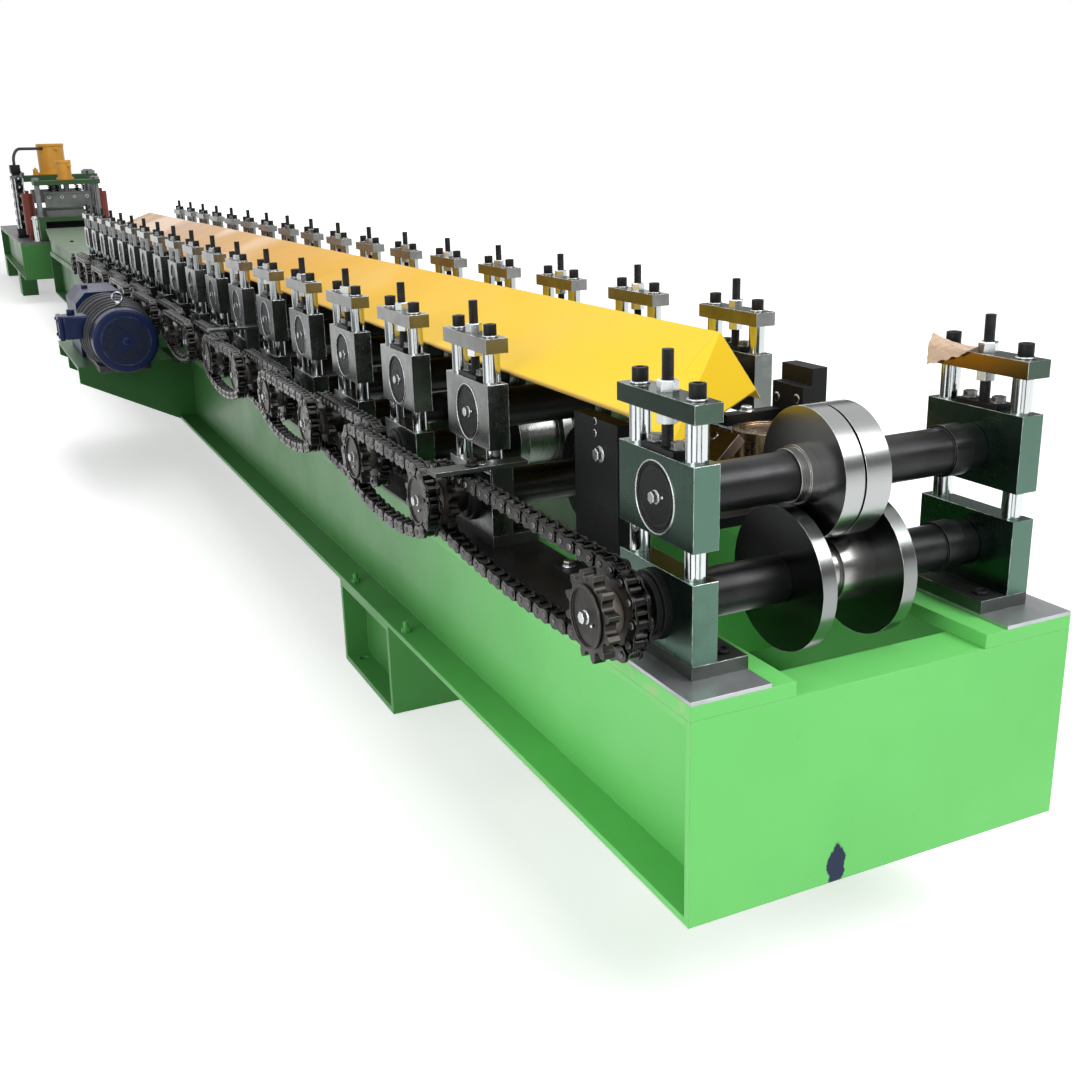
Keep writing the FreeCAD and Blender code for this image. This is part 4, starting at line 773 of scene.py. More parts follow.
# Bearing caps: a bright ring, a black dished cap with a hexagon bolt and a small pin
capPlan = {"radius": 0.0515, "ring": 0.0035, "depth": 0.005, "short": 0.0006, "ringSink": 0.002, "plateThick": 0.004,
    "plateRim": 0.004, "plateSink": 0.0006, "washer": 0.0105, "washerThick": 0.0015, "bolt": 0.0092,
    "boltHigh": 0.007, "boltOut": 0.003, "pin": 0.0026, "pinOut": 0.021, "pinHigh": 0.004, "lip": 0.0008,
    "lipWire": 0.0016}
onSide = turnedBy(math.radians(90), "X")
towardLeft = (0, -1, 0)


def bearingCap(name):
    # faces -Y, its back on the plane y = 0
    rim = addRod(name + "Rim", capPlan["radius"], (0, 0, 0), (0, -capPlan["depth"] + capPlan["short"], 0), 48)
    rim = sunk(rim, towardLeft, capPlan["ring"], capPlan["ringSink"])
    plate = addRod(name + "Plate", capPlan["radius"] - 2 * capPlan["ring"], (0, 0, 0), (0, -capPlan["plateThick"], 0),
        40)
    plate = sunk(plate, towardLeft, capPlan["plateRim"], capPlan["plateSink"])
    return smoothed(joined(name, [bevelled(rim, 0.0005, 1), bevelled(plate, 0.0004, 1)]))


def boltAndPin(name):
    disc = washer(name + "Washer", capPlan["washer"], capPlan["washerThick"])
    head = hexHead(name + "Head", capPlan["bolt"], capPlan["boltHigh"], shifted(0, 0, capPlan["washerThick"]))
    pin = addRod(name + "Pin", capPlan["pin"], (capPlan["pinOut"], capPlan["pinHigh"], 0),
        (capPlan["pinOut"], capPlan["pinHigh"], capPlan["pinHigh"]), 10, 0.0008, 1)
    return moved(joined(name, [disc, head, pin]), onSide)


def capPlaces(numbers, axisZ, sides, out):
    recess = standFace - capPlan["depth"] + out
    return [shifted(stationX(number), side * recess, axisZ) @ (Matrix() if side < 0 else turnedBy(math.pi, "Z"))
        for number in numbers for side in sides]


def discPlaces(front, numbers, out=0.0):
    # both ends of the upper shafts, and the far ends of all the lower ones
    low = [] if front else capPlaces(every, lowAxis.z, (1,), out)
    return capPlaces(numbers, highAxis.z, (-1, 1), out) + low


for front, numbers, body in halves:
    dress(spread(front + "bearing_discs", bearingCap("cap"), discPlaces(front, numbers)), "black", front +
        "bearing_caps", body=body)
    dress(spread(front + "bearing_bolts", boltAndPin("heads"), discPlaces(front, numbers, capPlan["boltOut"])),
        "zinc", body=body)
    lip = addRing("lip", (0, 0, 0), capPlan["radius"] + capPlan["lip"], capPlan["lipWire"], (0, 1, 0), 40, 6)
    lips = spread(front + "bearing_lips", lip, capPlaces(numbers, highAxis.z, (-1,), capPlan["depth"]))
    dress(smoothed(lips, 60), "zinc", body=body)

collarPlan = {"radius": 0.0516, "step": 0.0450, "bore": 0.0335, "start": 0.303, "shoulder": 0.321, "end": 0.330,
    "hollow": 0.022}


def collar(name):
    # a stepped ring that stands out round the sprocket hub
    wide = addRod(name, collarPlan["radius"], (0, -collarPlan["start"], 0), (0, -collarPlan["shoulder"], 0), 40)
    wide = raised(wide, towardLeft, collarPlan["radius"] - collarPlan["step"],
        collarPlan["end"] - collarPlan["shoulder"])
    wide = sunk(wide, towardLeft, collarPlan["step"] - collarPlan["bore"], collarPlan["hollow"])
    return smoothed(bevelled(wide, 0.0008))


dress(spread("lower_collars", collar("collar"), [at(stationX(number), 0, lowAxis.z) for number in every]), "black",
    "bearing_caps")
print("bearing caps made")

# Chains: inner and outer links along each loop
chainPlan = {"pitch": 0.03175, "teeth": 12, "inner": 0.366, "outer": 0.408, "high": 0.0125, "plate": 0.0028,
    "innerHalf": 0.0096, "outerHalf": 0.0128, "roller": 0.0093, "pin": 0.0050, "pinEnd": 0.0160, "waist": 0.0092,
    "lobe": 105.0, "sag": 0.022, "pieces": 4, "plateSides": 20, "sideAngle": 18}
pitchRadius = chainPlan["pitch"] / 2 / math.sin(math.pi / chainPlan["teeth"])


def linkPlate(y):
    # a waisted plate: each side of a disc is pulled out to its own pin
    plate = addRod("plate", chainPlan["high"], (0, y - chainPlan["plate"] / 2, 0), (0, y + chainPlan["plate"] / 2, 0),
        chainPlan["plateSides"])
    quarter = 90 // chainPlan["sideAngle"]
    for corner in plate.data.vertices:
        angle = math.atan2(corner.co.z, corner.co.x)
        step = round(angle / math.radians(chainPlan["sideAngle"]))
        if abs(step) == quarter:
            corner.co.x = 0.0
            corner.co.z = math.copysign(chainPlan["waist"], step)
            continue
        side = 1 if abs(step) < quarter else -1
        turn = math.radians(step * chainPlan["sideAngle"])
        turn = turn if side > 0 else math.pi - turn
        turn = (turn + math.pi) % (2 * math.pi) - math.pi
        swept = turn * chainPlan["lobe"] / (4 * chainPlan["sideAngle"])
        corner.co.x = side * (chainPlan["pitch"] / 2 + chainPlan["high"] * math.cos(swept))
        corner.co.z = chainPlan["high"] * math.sin(swept)
    return plate


def chainLink(name, plateHalf, rodName, radius, reach, sides, rodFinish):
    # two plates and the two rollers or pins that run across them
    half = chainPlan["pitch"] / 2
    pieces = [tinted(linkPlate(side * plateHalf), "chain") for side in (-1, 1)]
    pieces += [tinted(addRod(rodName, radius, (x, -reach, 0), (x, reach, 0), sides), rodFinish)
        for x in (-half, half)]
    return assembled(name, pieces)


def loopPoints(number):
    # pin places of one loop: the top strand, the far sprocket, the hanging strand, the near sprocket
    near, far = stationX(number), stationX(number + 1)
    run = near - far
    count = round(run / chainPlan["pitch"] + 0.2)
    half = chainPlan["teeth"] // 2
    arc = [(pitchRadius * math.sin(math.pi * k / half), pitchRadius * math.cos(math.pi * k / half))
        for k in range(half)]
    points = [(near - run * k / count, lowAxis.z + pitchRadius) for k in range(count)]
    points += [(far - across, lowAxis.z + up) for across, up in arc]
    for k in range(count):
        share = k / count
        points.append((far + run * share, lowAxis.z - pitchRadius - 4 * chainPlan["sag"] * share * (1 - share)))
    return points + [(near + across, lowAxis.z - up) for across, up in arc]


def chainLinks():
    plan = chainPlan
    masters = (chainLink("outerLink", plan["outerHalf"], "pin", plan["pin"], plan["pinEnd"], 8, "pin"),
        chainLink("innerLink", plan["innerHalf"], "roller", plan["roller"], plan["innerHalf"] - plan["plate"] / 2, 12,
        "chain"))
    links = []
    for number in range(1, layout["stations"]):
        y = -(plan["inner"] if number % 2 else plan["outer"])
        points = loopPoints(number)
        for k, start in enumerate(points):
            end = points[(k + 1) % len(points)]
            length = math.hypot(end[0] - start[0], end[1] - start[1])
            turn = -math.atan2(end[1] - start[1], end[0] - start[0])
            middle = ((start[0] + end[0]) / 2, y, (start[1] + end[1]) / 2)
            links.append(copied(masters[k % 2], at(*middle, turn, "Y") @
                Matrix.Scale(length / plan["pitch"], 4, (1, 0, 0))))
    for master in masters:
        bpy.data.objects.remove(master)
    share = len(links) // plan["pieces"] + 1
    for part in range(plan["pieces"]):
        some = links[part * share:(part + 1) * share]
        dress(joined("chain_links_%d" % (part + 1), some), "chain", "drive_chains", mixed=True)
    print(len(links), "chain links made")


chainLinks()

# Shaft ends on the sprockets
endPlan = {"y": 0.417, "plate": 0.0465, "plateThick": 0.004, "rim": 0.0028, "dish": 0.003}


def shaftEnd(name):
    disc = addDisc(name, endPlan["plate"], endPlan["plateThick"], 32, 0.0008, 1)
    return moved(smoothed(sunk(disc, (0, 0, 1), endPlan["rim"], endPlan["dish"])), onSide)


for label, numbers, body in (("shaft_ends", later, frameBody), ("front_shaft_end", [1], "front_lower_roller")):
    places = [at(stationX(number), -endPlan["y"], lowAxis.z, 0.5 * number, "Y") for number in numbers]
    dress(spread(label, shaftEnd("end"), places), "sprocket", body=body)
    outer = [shifted(0, endPlan["dish"] - endPlan["plateThick"], 0) @ place for place in places]
    dress(spread(label + "_bolts", boltAndPin("heads"), outer), "zinc", body=body)
print("chains made")

# Motor: fan cover with a pierced front, ringed barrel, eye bolt, terminal box and gearbox trim
motorPlan = {"round": 0.012, "disc": 0.094, "lift": 0.003, "lip": 0.003, "lipSink": 0.0012, "hole": 0.0056,
    "holeOut": 0.0004, "holeIn": 0.0006, "boss": 0.012, "rows": ((0.0845, 60), (0.0765, 56), (0.0685, 50),
    (0.0605, 44), (0.0525, 38), (0.0445, 32), (0.0365, 26)), "rings": ((-2.345, 0.132), (-2.392, 0.1365),
    (-2.440, 0.141), (-2.490, 0.146)), "bands": (-2.600, -2.680, -2.760), "bandOut": 0.004, "ringWide": 0.014,
    "inside": 0.004, "foot": 0.03, "footBolts": (0.10, 0.24), "boltRows": (-0.085, 0.085), "eye": (-2.318, 0.752)}
fanLow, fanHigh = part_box("motor_fan_cover")
motorY, motorZ = ((fanLow[k] + fanHigh[k]) / 2 for k in (1, 2))


def alongX(name, radius, low, high, sides=48, edge=0.0, steps=2):
    return addRod(name, radius, (low, motorY, motorZ), (high, motorY, motorZ), sides, edge, steps)


def fanCover():
    radius = (fanHigh.z - fanLow.z) / 2
    front = fanHigh.x - motorPlan["lift"]
    shell = alongX("fan_cover", radius, fanLow.x, front, 64, motorPlan["round"], 4)
    shell = raised(shell, (1, 0, 0), radius - motorPlan["round"] - motorPlan["disc"], motorPlan["lift"])
    shell = sunk(shell, (1, 0, 0), motorPlan["lip"], motorPlan["lipSink"])
    return assembled("fan_cover", [shell, alongX("boss", motorPlan["boss"], front, fanHigh.x + 0.001, 20, 0.003)])


def fanHoles():
    # small square holes in rows round the middle: black recessed plates stand in for them and paint the shade inside
    # each hole
    half = motorPlan["hole"] / 2
    hole = addBlock("hole", (-motorPlan["holeIn"], -half, -half), (motorPlan["holeOut"], half, half), 0.0002, 1)
    face = fanHigh.x - motorPlan["lipSink"]
    return spread("fan_holes", hole, [at(face, motorY, motorZ, 2 * math.pi * k / count, "X") @ shifted(0, 0, reach)
        for reach, count in motorPlan["rows"] for k in range(count)])


def motorBarrel():
    low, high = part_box("motor_body")
    radius, foot = high.z - motorZ, motorPlan["foot"]
    wide = motorPlan["ringWide"]
    pieces = [alongX("barrel", radius - motorPlan["inside"], low.x, high.x)]
    pieces += [alongX("ring", reach, x - wide, x, 48, 0.004, 3) for x, reach in motorPlan["rings"]]
    pieces += [alongX("band", radius + motorPlan["bandOut"], x - wide, x, 48, 0.004) for x in motorPlan["bands"]]
    footTop = low.z + foot
    pieces.append(addBlock("foot", (low.x + foot, low.y + foot, low.z), (high.x - foot, high.y - foot, footTop), 0.006))
    pieces += [hexHead("footBolt", 0.014, 0.012, shifted(low.x + along, motorY + across, footTop))
        for along in motorPlan["footBolts"] for across in motorPlan["boltRows"]]
    return assembled("motor_barrel", pieces)


def eyeBolt():
    # an upright ring on a collar
    ring, wire = 0.019, 0.0045
    x, z = motorPlan["eye"]
    loop = addRing("eyeRing", (x, motorY, z + ring), ring, wire, (1, 0, 0), 24, 8)
    foot = upright("eyeFoot", wire * 2.4, x, motorY, z - wire * 2.5, z, 16, wire * 0.5)
    return assembled("motor_eye", [loop, foot])


boxPlan = {"step": 0.022, "face": 0.0048, "over": 0.003, "lidBack": 0.026, "border": 0.010, "sink": 0.003,
    "screwIn": 0.014, "glandIn": 0.06, "gland": 0.016, "glandLow": 0.002, "glandHigh": 0.022}


def terminalBox():
    low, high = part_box("terminal_box")
    over, screwIn, glandY = boxPlan["over"], boxPlan["screwIn"], low.y + boxPlan["glandIn"]
    face = low.y + boxPlan["face"]
    body = addBlock("body", (low.x, low.y + boxPlan["step"], low.z), high, 0.010, 3)
    lid = addBlock("lid", (low.x - over, face, low.z - over),
        (high.x + over, low.y + boxPlan["lidBack"], high.z + over), 0.008, 3)
    pieces = [body, sunk(lid, towardLeft, boxPlan["border"], boxPlan["sink"])]
    pieces += [hexHead("lidScrew", 0.006, 0.004, at(x, face, z, math.pi / 2, "X"))
        for x in (low.x + screwIn, high.x - screwIn) for z in (low.z + screwIn, high.z - screwIn)]
    pieces.append(upright("gland", boxPlan["gland"], (low.x + high.x) / 2, glandY, high.z - boxPlan["glandLow"],
        high.z + boxPlan["glandHigh"], 6, 0.003))
    return assembled("terminal_housing", pieces)


gearPlan = {"flange": 0.118, "flangeOut": 0.020, "bolts": 8, "boltRing": 0.104, "bolt": 0.009, "boltHigh": 0.007,
    "output": 0.070, "outputOut": 0.008, "plug": 0.014, "plugIn": 0.05, "overlap": 0.002}


def gearTrim():
    # a bolted ring where the motor meets the gearbox, and a cover ring round the output shaft
    plan, (low, high) = gearPlan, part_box("gearbox")
    front = high.x + plan["flangeOut"]
    pieces = [alongX("flange", plan["flange"], high.x - plan["overlap"], front, 48, 0.003)]
    pieces += [hexHead("flangeBolt", plan["bolt"], plan["boltHigh"],
        at(front, motorY, motorZ, 2 * math.pi * k / plan["bolts"], "X") @
        at(0, 0, plan["boltRing"], math.pi / 2, "Y")) for k in range(plan["bolts"])]
    x = (low.x + high.x) / 2
    ring = addRod("outputRing", plan["output"], (x, high.y - 0.001, motorZ), (x, high.y + plan["outputOut"], motorZ),
        40, 0.002)
    pieces.append(sunk(ring, (0, 1, 0), 0.010, 0.003))
    pieces.append(upright("plug", plan["plug"], x, motorY - plan["plugIn"], high.z - plan["overlap"],
        high.z + plan["plug"], 6, 0.002))
    return assembled("gearbox_trim", pieces)


dress(fanCover(), "navy", "motor_fan_cover")
dress(fanHoles(), "black")
dress(motorBarrel(), "iron", "motor_body")
dress(eyeBolt(), "zinc")
dress(terminalBox(), "navy", "terminal_box")
dress(gearTrim(), "navy")
print("motor made")

# Guides: bolts and screws on the black plates, the bar and the roller
guidePlan = {"plateFace": -0.225, "bolt": (1.036, 0.799), "screws": ((1.018, 0.851), (1.017, 0.831)),
    "frontFace": 0.175, "frontScrews": ((0.965, 0.840), (1.023, 0.845)), "barScrew": (1.0969, -0.0444, 0.8195),
    "barLean": 43.0, "arm": (0.9645, 0.110, 0.820), "feet": ((0.962, -0.250, 0.588), (1.072, -0.250, 0.588))}


def faceScrew(name, radius, high, placing, ringFinish="zinc"):
    # a socket screw seen end on, with its ring
    ring = tinted(washer(name + "Ring", radius * 1.35, high * 0.35), ringFinish)
    return moved(joined(name, [ring, tinted(socketScrew(name + "Head", radius, high), "black")]), placing)


def hexOnFace(name, radius, high, placing, finish="zinc"):
    disc = washer(name + "Washer", radius * 1.25, high * 0.22)
    return moved(tinted(joined(name, [disc, hexHead(name + "Head", radius, high)]), finish), placing)


def onLeft(x, y, z):
    return at(x, y, z, math.pi / 2, "X")


(boltX, boltZ), plateY, blockY = guidePlan["bolt"], guidePlan["plateFace"], guidePlan["frontFace"]
guideBits = [hexOnFace("guideBolt", 0.0115, 0.010, onLeft(boltX, plateY, boltZ))]
guideBits += [faceScrew("guideScrew", 0.0048, 0.003, onLeft(x, plateY, z)) for x, z in guidePlan["screws"]]
guideBits += [faceScrew("frontScrew", 0.0065, 0.003, onLeft(x, blockY, z)) for x, z in guidePlan["frontScrews"]]
guideBits.append(faceScrew("barScrew", 0.0060, 0.003, at(*guidePlan["barScrew"], math.radians(guidePlan["barLean"]),
    "X")))
guideBits.append(hexOnFace("armBolt", 0.011, 0.009, shifted(*guidePlan["arm"])))
guideBits += [hexOnFace("footBolt", 0.011, 0.009, shifted(*spot)) for spot in guidePlan["feet"]]
dress(joined("guide_screws", guideBits), "zinc", mixed=True)

# Bolts of the tie bars, of the bed flange and of the run-out table
tiePlan = {"spots": ((2, 0.028), (7, 0.048)), "shift": 0.1205, "boltY": -0.352, "holeY": -0.331}
tieBits = []
for number, lift in tiePlan["spots"]:
    x, z = stationX(number) + tiePlan["shift"], lowerTop + lift
    tieBits.append(faceScrew("tieBolt", 0.0095, 0.012, shifted(x, tiePlan["boltY"], z), "black"))
    tieBits.append(faceScrew("tieHole", 0.0045, 0.002, shifted(x, tiePlan["holeY"], z)))
dress(joined("tie_bar_bolts", tieBits), "black", mixed=True)

flangePlan = {"spots": ((-0.1125, 0.237, 0.262, 0.237), (0.2705, 0.237, 0.262, 0.237), (0.2275, 0.205, 0.225, 0.216)),
    "y": -0.326}
flangeBits = []
for x, low, high, nutZ in flangePlan["spots"]:
    flangeBits += [upright("stem", 0.0065, x, flangePlan["y"], low, high, 12, 0.001, 1),
        hexHead("nut", 0.012, 0.009, shifted(x, flangePlan["y"], nutZ))]
dress(smoothed(joined("flange_bolts", flangeBits)), "green")

tablePlan = {"seam": -8.20, "seamWide": 0.010, "lip": 0.002, "overlap": 0.001, "inside": 0.004, "low": 0.652,
    "boltOut": 0.03, "boltY": 0.19}
seamX, tableZ = tablePlan["seam"], tablePlan["low"]
tableLow, tableHigh = (corner.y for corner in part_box("runout_table"))
seam = addBlock("table_strip",
    (seamX - tablePlan["seamWide"], tableLow + tablePlan["inside"], tableZ - tablePlan["overlap"]),
    (seamX, tableHigh - tablePlan["inside"], tableZ + tablePlan["lip"]), 0.0015, 1)
tableBits = [tinted(seam, "table")]
tableBits += [hexOnFace("tableBolt", 0.013, 0.012, shifted(seamX + tablePlan["boltOut"], y, tableZ), "black")
    for y in (-tablePlan["boltY"], tablePlan["boltY"])]
dress(joined("table_seam", tableBits), "table", mixed=True)
print("guides and small bolts made")

# Presses: nuts, cylinder flanges and rims, springs, ring bolts, a pipe post and stacked valves
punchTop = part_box("press_heads")[1].z
pressPlan = {
    "shear": {"posts": ((-10.2605, 0.263), (-10.0245, 0.263)), "top": 1.113, "deck": 0.783, "nut": 0.030,
        "middle": -10.1425, "barrel": 0.064, "tall": 0.181},
    "punch": {"posts": ((-11.5825, 0.340), (-11.1425, 0.340)), "top": 1.155, "deck": 0.748, "nut": 0.044,
        "middle": -11.3625, "barrel": 0.130, "tall": 0.303},
}
trimPlan = {"collar": 0.012, "foot": 0.016, "bolts": 8, "rim": 0.005, "rimHigh": 0.028, "rimLow": 0.0005,
    "portNear": 0.030, "portFar": 0.062, "portLow": 0.062, "portHigh": 0.034, "portOut": 0.014}


def pressTrim(name, posts, top, deck, nut, middle, barrel, tall):
    bright = []
    for x, y in posts:
        for place in (-y, y):
            bright += [hexHead("postNut", nut, nut * 0.7, shifted(x, place, top)),
                upright("stub", nut * 0.55, x, place, top, top + nut, 16, 0.002, 1),
                upright("collarRing", nut * 1.1, x, place, deck, deck + trimPlan["collar"], 20, 0.002, 1)]
    dress(smoothed(joined(name + "_nuts", bright)), "dullZinc")
    footTop = top + trimPlan["foot"]
    trim = [upright("foot", barrel * 1.24, middle, 0, top, footTop, 40, 0.002)]
    trim += [hexHead("footBolt", 0.010, 0.009, at(middle, 0, footTop, 2 * math.pi * (k + 0.5) / trimPlan["bolts"]) @
        shifted(barrel * 1.12, 0, 0)) for k in range(trimPlan["bolts"])]
    high = top + tall
    rim = upright("rim", barrel + trimPlan["rim"], middle, 0, high - trimPlan["rimHigh"], high - trimPlan["rimLow"],
        48, 0.003)
    trim.append(sunk(rim, (0, 0, 1), 0.012, 0.004))
    trim.append(addBlock("port", (middle + barrel * 0.72, trimPlan["portNear"], high - trimPlan["portLow"]),
        (middle + barrel + trimPlan["portOut"], trimPlan["portFar"], high - trimPlan["portHigh"]), 0.003))
    dress(assembled(name + "_cylinder_trim", trim), "amber")


for pressName, plan in pressPlan.items():
    pressTrim(pressName, **plan)

springPlan = {"radius": 0.017, "wire": 0.0042, "turns": 4, "wireSides": 6, "ringSides": 12, "headThick": 0.040,
    "gap": 0.001, "back": 0.030, "ys": (-0.15, -0.09, 0.09, 0.15)}
diePlan = {"top": 1.010, "ringZ": 0.962, "ringOut": 0.0027, "ringYs": (-0.17, -0.057, 0.057, 0.17), "ring": 0.0140,
    "wire": 0.0026, "bar": (-0.004, 0.008), "half": 0.207, "barLow": 0.022, "barHigh": 0.004}
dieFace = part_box("shear_upper_die")[1].x


def springCoil():
    high = pressPlan["shear"]["top"] - springPlan["headThick"] - diePlan["top"] - 2 * springPlan["gap"]
    turns, around = springPlan["turns"], springPlan["ringSides"]
    clearSelection()
    bpy.ops.mesh.primitive_circle_add(vertices=springPlan["wireSides"], radius=springPlan["wire"],
        location=(springPlan["radius"], 0, 0), rotation=(math.pi / 2, 0, 0))
    coil = modified(settle(named(bpy.context.object, "spring")), "SCREW", axis="Z", angle=2 * math.pi,
        iterations=turns, screw_offset=high / turns, steps=around, render_steps=around)
    return smoothed(sealed(coil), 60)


def ringBolt():
    loop = addRing("loop", (0, 0, 0), diePlan["ring"], diePlan["wire"], (1, 0, 0), 20, 8)
    return assembled("ringBolt", [loop, addRod("foot", 0.004, (-0.004, 0, 0), (0.002, 0, 0), 12, 0.001, 1)])


springX, springZ = dieFace - springPlan["back"], diePlan["top"] + springPlan["gap"]
dress(spread("press_springs", springCoil(), [shifted(springX, y, springZ) for y in springPlan["ys"]]), "black")
ringX = dieFace + diePlan["ringOut"]
dress(spread("die_rings", ringBolt(), [shifted(ringX, y, diePlan["ringZ"]) for y in diePlan["ringYs"]]), "zinc",
    body="shear_ram")
(barBack, barFront), half = diePlan["bar"], diePlan["half"]
dress(addBlock("die_edge", (dieFace + barBack, -half, diePlan["top"] - diePlan["barLow"]),
    (dieFace + barFront, half, diePlan["top"] - diePlan["barHigh"]), 0.002), "die", body="shear_ram")

pipePlan = {"out": 0.004, "y": -0.330, "rim": 0.005, "deep": 0.03,
    "rows": ((0.024, 0.568, 0.800, 28, 0.002, 1), (0.036, 0.568, 0.578, 28, 0.002), (0.031, 0.770, 0.788, 28, 0.002))}
pipe, pipeFoot, pipeHead = uprights(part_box("press_decks")[1].x + pipePlan["out"], pipePlan["y"], pipePlan["rows"])
sunk(pipe, (0, 0, 1), pipePlan["rim"], pipePlan["deep"])
dress(assembled("pipe_post", [pipe, pipeFoot, pipeHead]), "columns")

smallPlan = {"x": -11.21, "y": -0.180, "rows": ((0.024, punchTop, punchTop + 0.060, 28, 0.003),
    (0.030, punchTop, punchTop + 0.010, 28, 0.002, 1), (0.010, punchTop + 0.058, punchTop + 0.074, 16, 0.002))}
dress(assembled("small_cylinder", uprights(smallPlan["x"], smallPlan["y"], smallPlan["rows"])), "amber")

# spine and crown: distance from the back and from the front, half width, height, distance from the top, bevel
valvePlan = {"spine": (0.06, 0.07, 0.035, 0.555, 0.06, 0.004), "crown": (0.05, 0.05, 0.045, 0.08, 0.0, 0.006),
    "foot": 0.09, "layers": 6, "first": 0.125, "apart": 0.083, "thick": 0.052, "coil": 0.023, "coilY": 0.01,
    "cap": 0.010, "pipe": 0.007, "pipeIn": 0.016, "pipeLow": 0.088, "pipeHigh": 0.13}


def valveStack():
    plan, (low, high) = valvePlan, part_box("valve_stack")
    middle = (low.y + high.y) / 2
    blocks = [addBlock("manifold", low, (high.x, high.y, low.z + plan["foot"]), 0.004)]
    for back, front, half, tall, top, edge in (plan["spine"], plan["crown"]):
        start = (low.x + back, middle - half, high.z - top - tall)
        blocks.append(addBlock("block", start, (high.x - front, middle + half, high.z - top), edge))
    dark = [tinted(piece, "black") for piece in blocks]
    light = []
    y = middle + plan["coilY"]
    for k in range(plan["layers"]):
        start = low.z + plan["first"] + plan["apart"] * k
        z = start + plan["thick"] / 2
        layer = addBlock("layer", (low.x + 0.03, middle - 0.052, start),
            (high.x - 0.045, middle + 0.052, start + plan["thick"]), 0.004)
        dark.append(tinted(layer, "die" if k % 2 else "black"))
        coil = addRod("coilBody", plan["coil"], (high.x - 0.050, y, z), (high.x - 0.004, y, z), 20, 0.004)
        dark.append(tinted(coil, "black"))
        cap = addRod("cap", plan["cap"], (high.x - 0.006, y, z), (high.x - 0.0005, y, z), 12, 0.001, 1)
        light.append(tinted(cap, "zinc"))
    for y in (low.y + 0.012, low.y + 0.038, high.y - 0.014):
        light.append(tinted(upright("pipe", plan["pipe"], high.x - plan["pipeIn"], y, low.z + plan["pipeLow"],
            high.z - plan["pipeHigh"], 12), "zinc"))
    return assembled("valves", dark + light)


dress(valveStack(), "black", "valve_stack", mixed=True)
sideLow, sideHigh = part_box("side_cylinders")
sideX, sideTop = (sideLow.x + sideHigh.x) / 2, sideHigh.z
sidePlan = {"y": 0.338, "rows": ((0.0565, sideTop - 0.040, sideTop - 0.026, 36, 0.002),
    (0.0565, 0.640, 0.654, 36, 0.002), (0.018, sideTop - 0.001, sideTop + 0.030, 20, 0.002))}
bands = [band for y in (-sidePlan["y"], sidePlan["y"]) for band in uprights(sideX, y, sidePlan["rows"])]
dress(assembled("side_cylinder_bands", bands), "red")
# painted shade: a black plate at the back of the opening under the shear deck, where there is only shade
shadePlate = addBlock("deck_shade_plate", (-10.262, -0.236, 0.5685), (-10.256, 0.236, 0.7425), 0.0015, 1)
dress(sunk(shadePlate, (1, 0, 0), 0.012, 0.001), "black")
print("presses made")

# Masking paper: a crumpled strip over the far corner of the right near cap
paperPlan = {"low": ((1.250, 0.929), (1.3245, 0.955)), "high": ((1.250, 0.981), (1.354, 0.972)), "front": 0.2596,
    "lean": 0.46, "thick": 0.0005, "cells": (26, 14), "clear": 0.0015, "wave": 0.0015, "dip": 0.004,
    "crumple": 0.0006}


def paperSheet():
    # leans on the far screw head, hangs over the front edge and tapers to the nut
    across, upward = paperPlan["cells"]
    clearSelection()
    bpy.ops.mesh.primitive_grid_add(x_subdivisions=across, y_subdivisions=upward, size=1, location=(0, 0, 0))
    sheet = named(bpy.context.object, "paper_strip")
    (x0, z0), (x1, z1) = paperPlan["low"]
    (x2, z2), (x3, z3) = paperPlan["high"]
    for corner in sheet.data.vertices:
        u, v = corner.co.x + 0.5, corner.co.y + 0.5
        low = (x0 + (x1 - x0) * u, max(z0, z0 + (z1 - z0) * u + paperPlan["wave"] * math.sin(19 * u)))
        high = (x2 + (x3 - x2) * u, z2 + (z3 - z2) * u - paperPlan["dip"] * math.sin(math.pi * u))
        x = low[0] + (high[0] - low[0]) * v
        z = low[1] + (high[1] - low[1]) * v
        wrinkle = paperPlan["crumple"] * (math.sin(21 * u + 7 * v) + math.sin(33 * v - 9 * u))
        lean = max(0.0, z - capTop - paperPlan["clear"]) * paperPlan["lean"]
        corner.co = (x, paperPlan["front"] + lean - abs(wrinkle) * 1.5, z)
    return smoothed(sealed(modified(sheet, "SOLIDIFY", thickness=paperPlan["thick"])), 50)


dress(paperSheet(), "paper")
print("masking paper made")

# Stage: a pale floor, a soft sky, studio lamps, and dark cards that only the metal sees
stagePlan = {"floorSize": 160.0, "near": 0.48, "far": 1.0, "fadeStart": 1.6, "fadeEnd": 6.0, "sky": 0.42,
    "farEnd": -14.0}
# each lamp: place, aim, watts and size; each card: its lower edge's two ends, its low and high Z, and its shade
lampPlan = {
    "keyLamp": ((4.2, 2.0, 4.4), (0.8, 0, 0.5), 200, (3.0, 3.0)),
    "topLamp": ((-3.6, 0.4, 5.0), (-3.6, 0, 0.5), 280, (13.0, 2.5)),
    "fillLamp": ((2.6, -4.6, 2.2), (0.4, 0, 0.5), 112, (3.0, 2.5)),
}
cardPlan = {
    "blockCard": ((0.45, -1.30), (-1.30, -1.30), 0.0, 0.80, 0.34),
    "leftCard": ((1.75, -1.45), (1.35, -1.50), 0.0, 0.75, 0.03),
    "middleCard": ((2.60, -0.95), (2.44, -1.12), 0.0, 0.75, 0.03),
    "rightCard": ((2.75, 0.05), (2.74, -0.20), 0.0, 0.75, 0.03),
    "backCard": ((6.5, 2.7), (-3.5, 2.7), 1.35, 2.6, 0.10),
}


def seenDirectly(tree):
    path = node(tree, "ShaderNodeLightPath").outputs
    return calc(tree, "MAXIMUM", path["Is Camera Ray"], calc(tree, "MAXIMUM", path["Is Glossy Ray"],
        path["Is Transmission Ray"]))


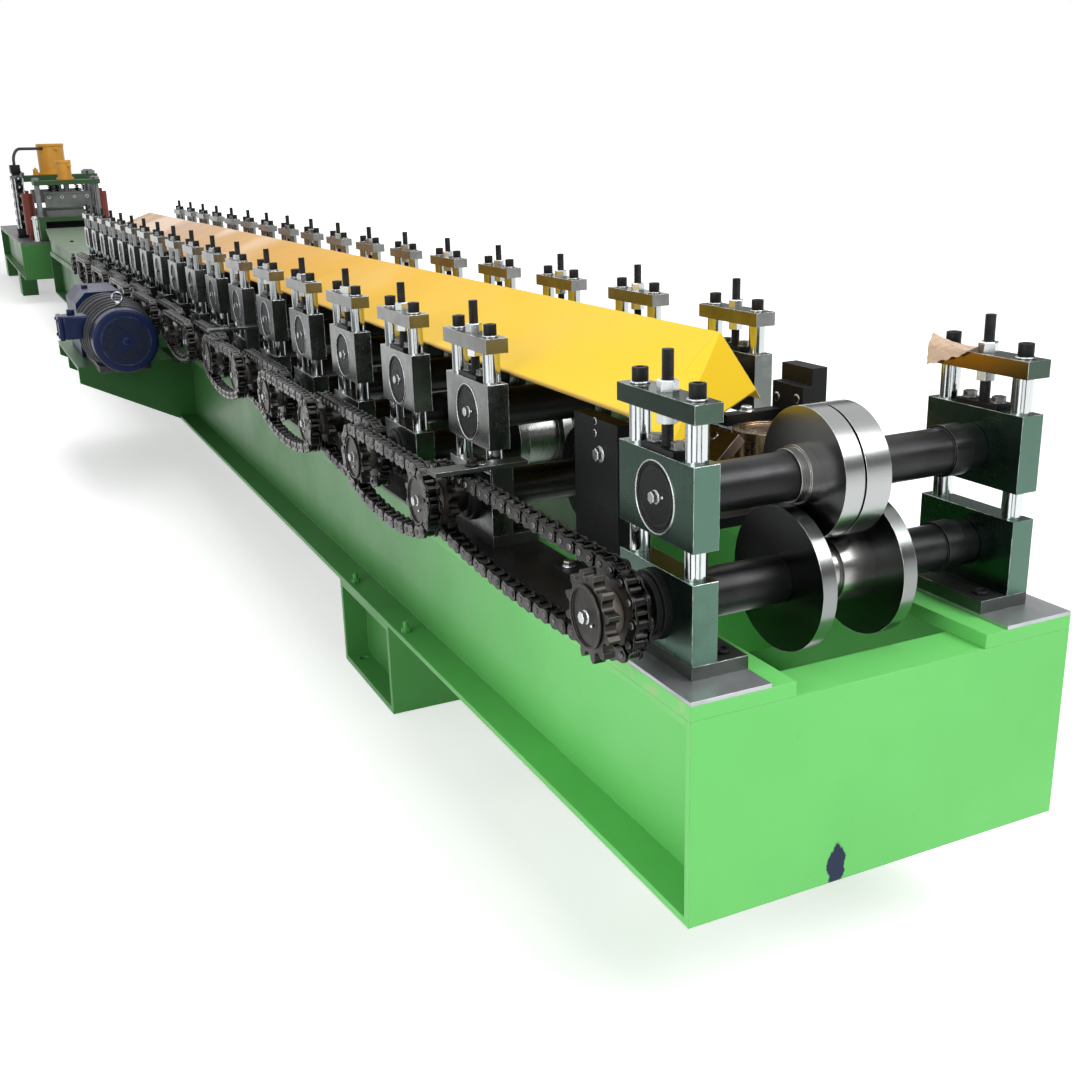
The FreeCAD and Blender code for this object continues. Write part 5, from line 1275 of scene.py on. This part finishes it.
def makeFloor():
    clearSelection()
    bpy.ops.mesh.primitive_plane_add(size=stagePlan["floorSize"], location=(-6, 0, -0.001))
    floor = settle(named(bpy.context.object, "floor"))
    made, tree, shader, coords = startMaterial("paleFloor", Roughness=0.8)
    feed(tree, shader["Base Color"], (0.80, 0.80, 0.80))
    feed(tree, shader["Emission Color"], (1, 1, 1))
    parts = axes(tree, coords)
    beyond = calc(tree, "MAXIMUM", calc(tree, "SUBTRACT", parts[0], nearEnd),
        calc(tree, "SUBTRACT", stagePlan["farEnd"], parts[0]))
    away = calc(tree, "MAXIMUM", beyond, calc(tree, "ABSOLUTE", parts[1]))
    glow = ranged(tree, away, stagePlan["fadeStart"], stagePlan["fadeEnd"], stagePlan["near"], stagePlan["far"])
    feed(tree, shader["Emission Strength"], times(tree, glow, seenDirectly(tree)))
    floor.data.materials.append(made)


def makeSky():
    world = bpy.data.worlds.new("studio")
    bpy.context.scene.world = world
    world.use_nodes = True
    tree = world.node_tree
    background = tree.nodes["Background"].inputs
    feed(tree, background["Color"], (1, 1, 1))
    feed(tree, background["Strength"], ranged(tree, seenDirectly(tree), 0.0, 1.0, stagePlan["sky"], 1.0))


def addLamp(name, place, aim, watts, size):
    data = bpy.data.lights.new(name, "AREA")
    data.energy = watts
    data.shape = "RECTANGLE"
    data.size, data.size_y = size
    lamp = bpy.data.objects.new(name, data)
    bpy.context.scene.collection.objects.link(lamp)
    turn = (Vector(aim) - Vector(place)).to_track_quat("-Z", "Y").to_matrix().to_4x4()
    lamp.matrix_world = Matrix.Translation(place) @ turn


def addCard(name, start, end, low, high, shade):
    start, end, rise = Vector((*start, low)), Vector((*end, low)), Vector((0, 0, high - low))
    clearSelection()
    bpy.ops.mesh.primitive_plane_add(size=1, location=(0, 0, 0))
    card = named(bpy.context.object, name)
    for corner, place in zip(card.data.vertices, (start, end, start + rise, end + rise)):
        corner.co = place
    made, tree, shader, coords = startMaterial(name + "Shade", Specular_IOR_Level=0, Emission_Strength=shade)
    feed(tree, shader["Base Color"], (0, 0, 0))
    feed(tree, shader["Emission Color"], (1, 1, 1))
    card.data.materials.append(made)
    card.visible_camera = card.visible_diffuse = card.visible_shadow = card.visible_transmission = False


makeFloor()
makeSky()
for lampName, plan in lampPlan.items():
    addLamp(lampName, *plan)
for cardName, plan in cardPlan.items():
    addCard(cardName, *plan)
bpy.context.scene.view_settings.view_transform = "Standard"
print("stage set")
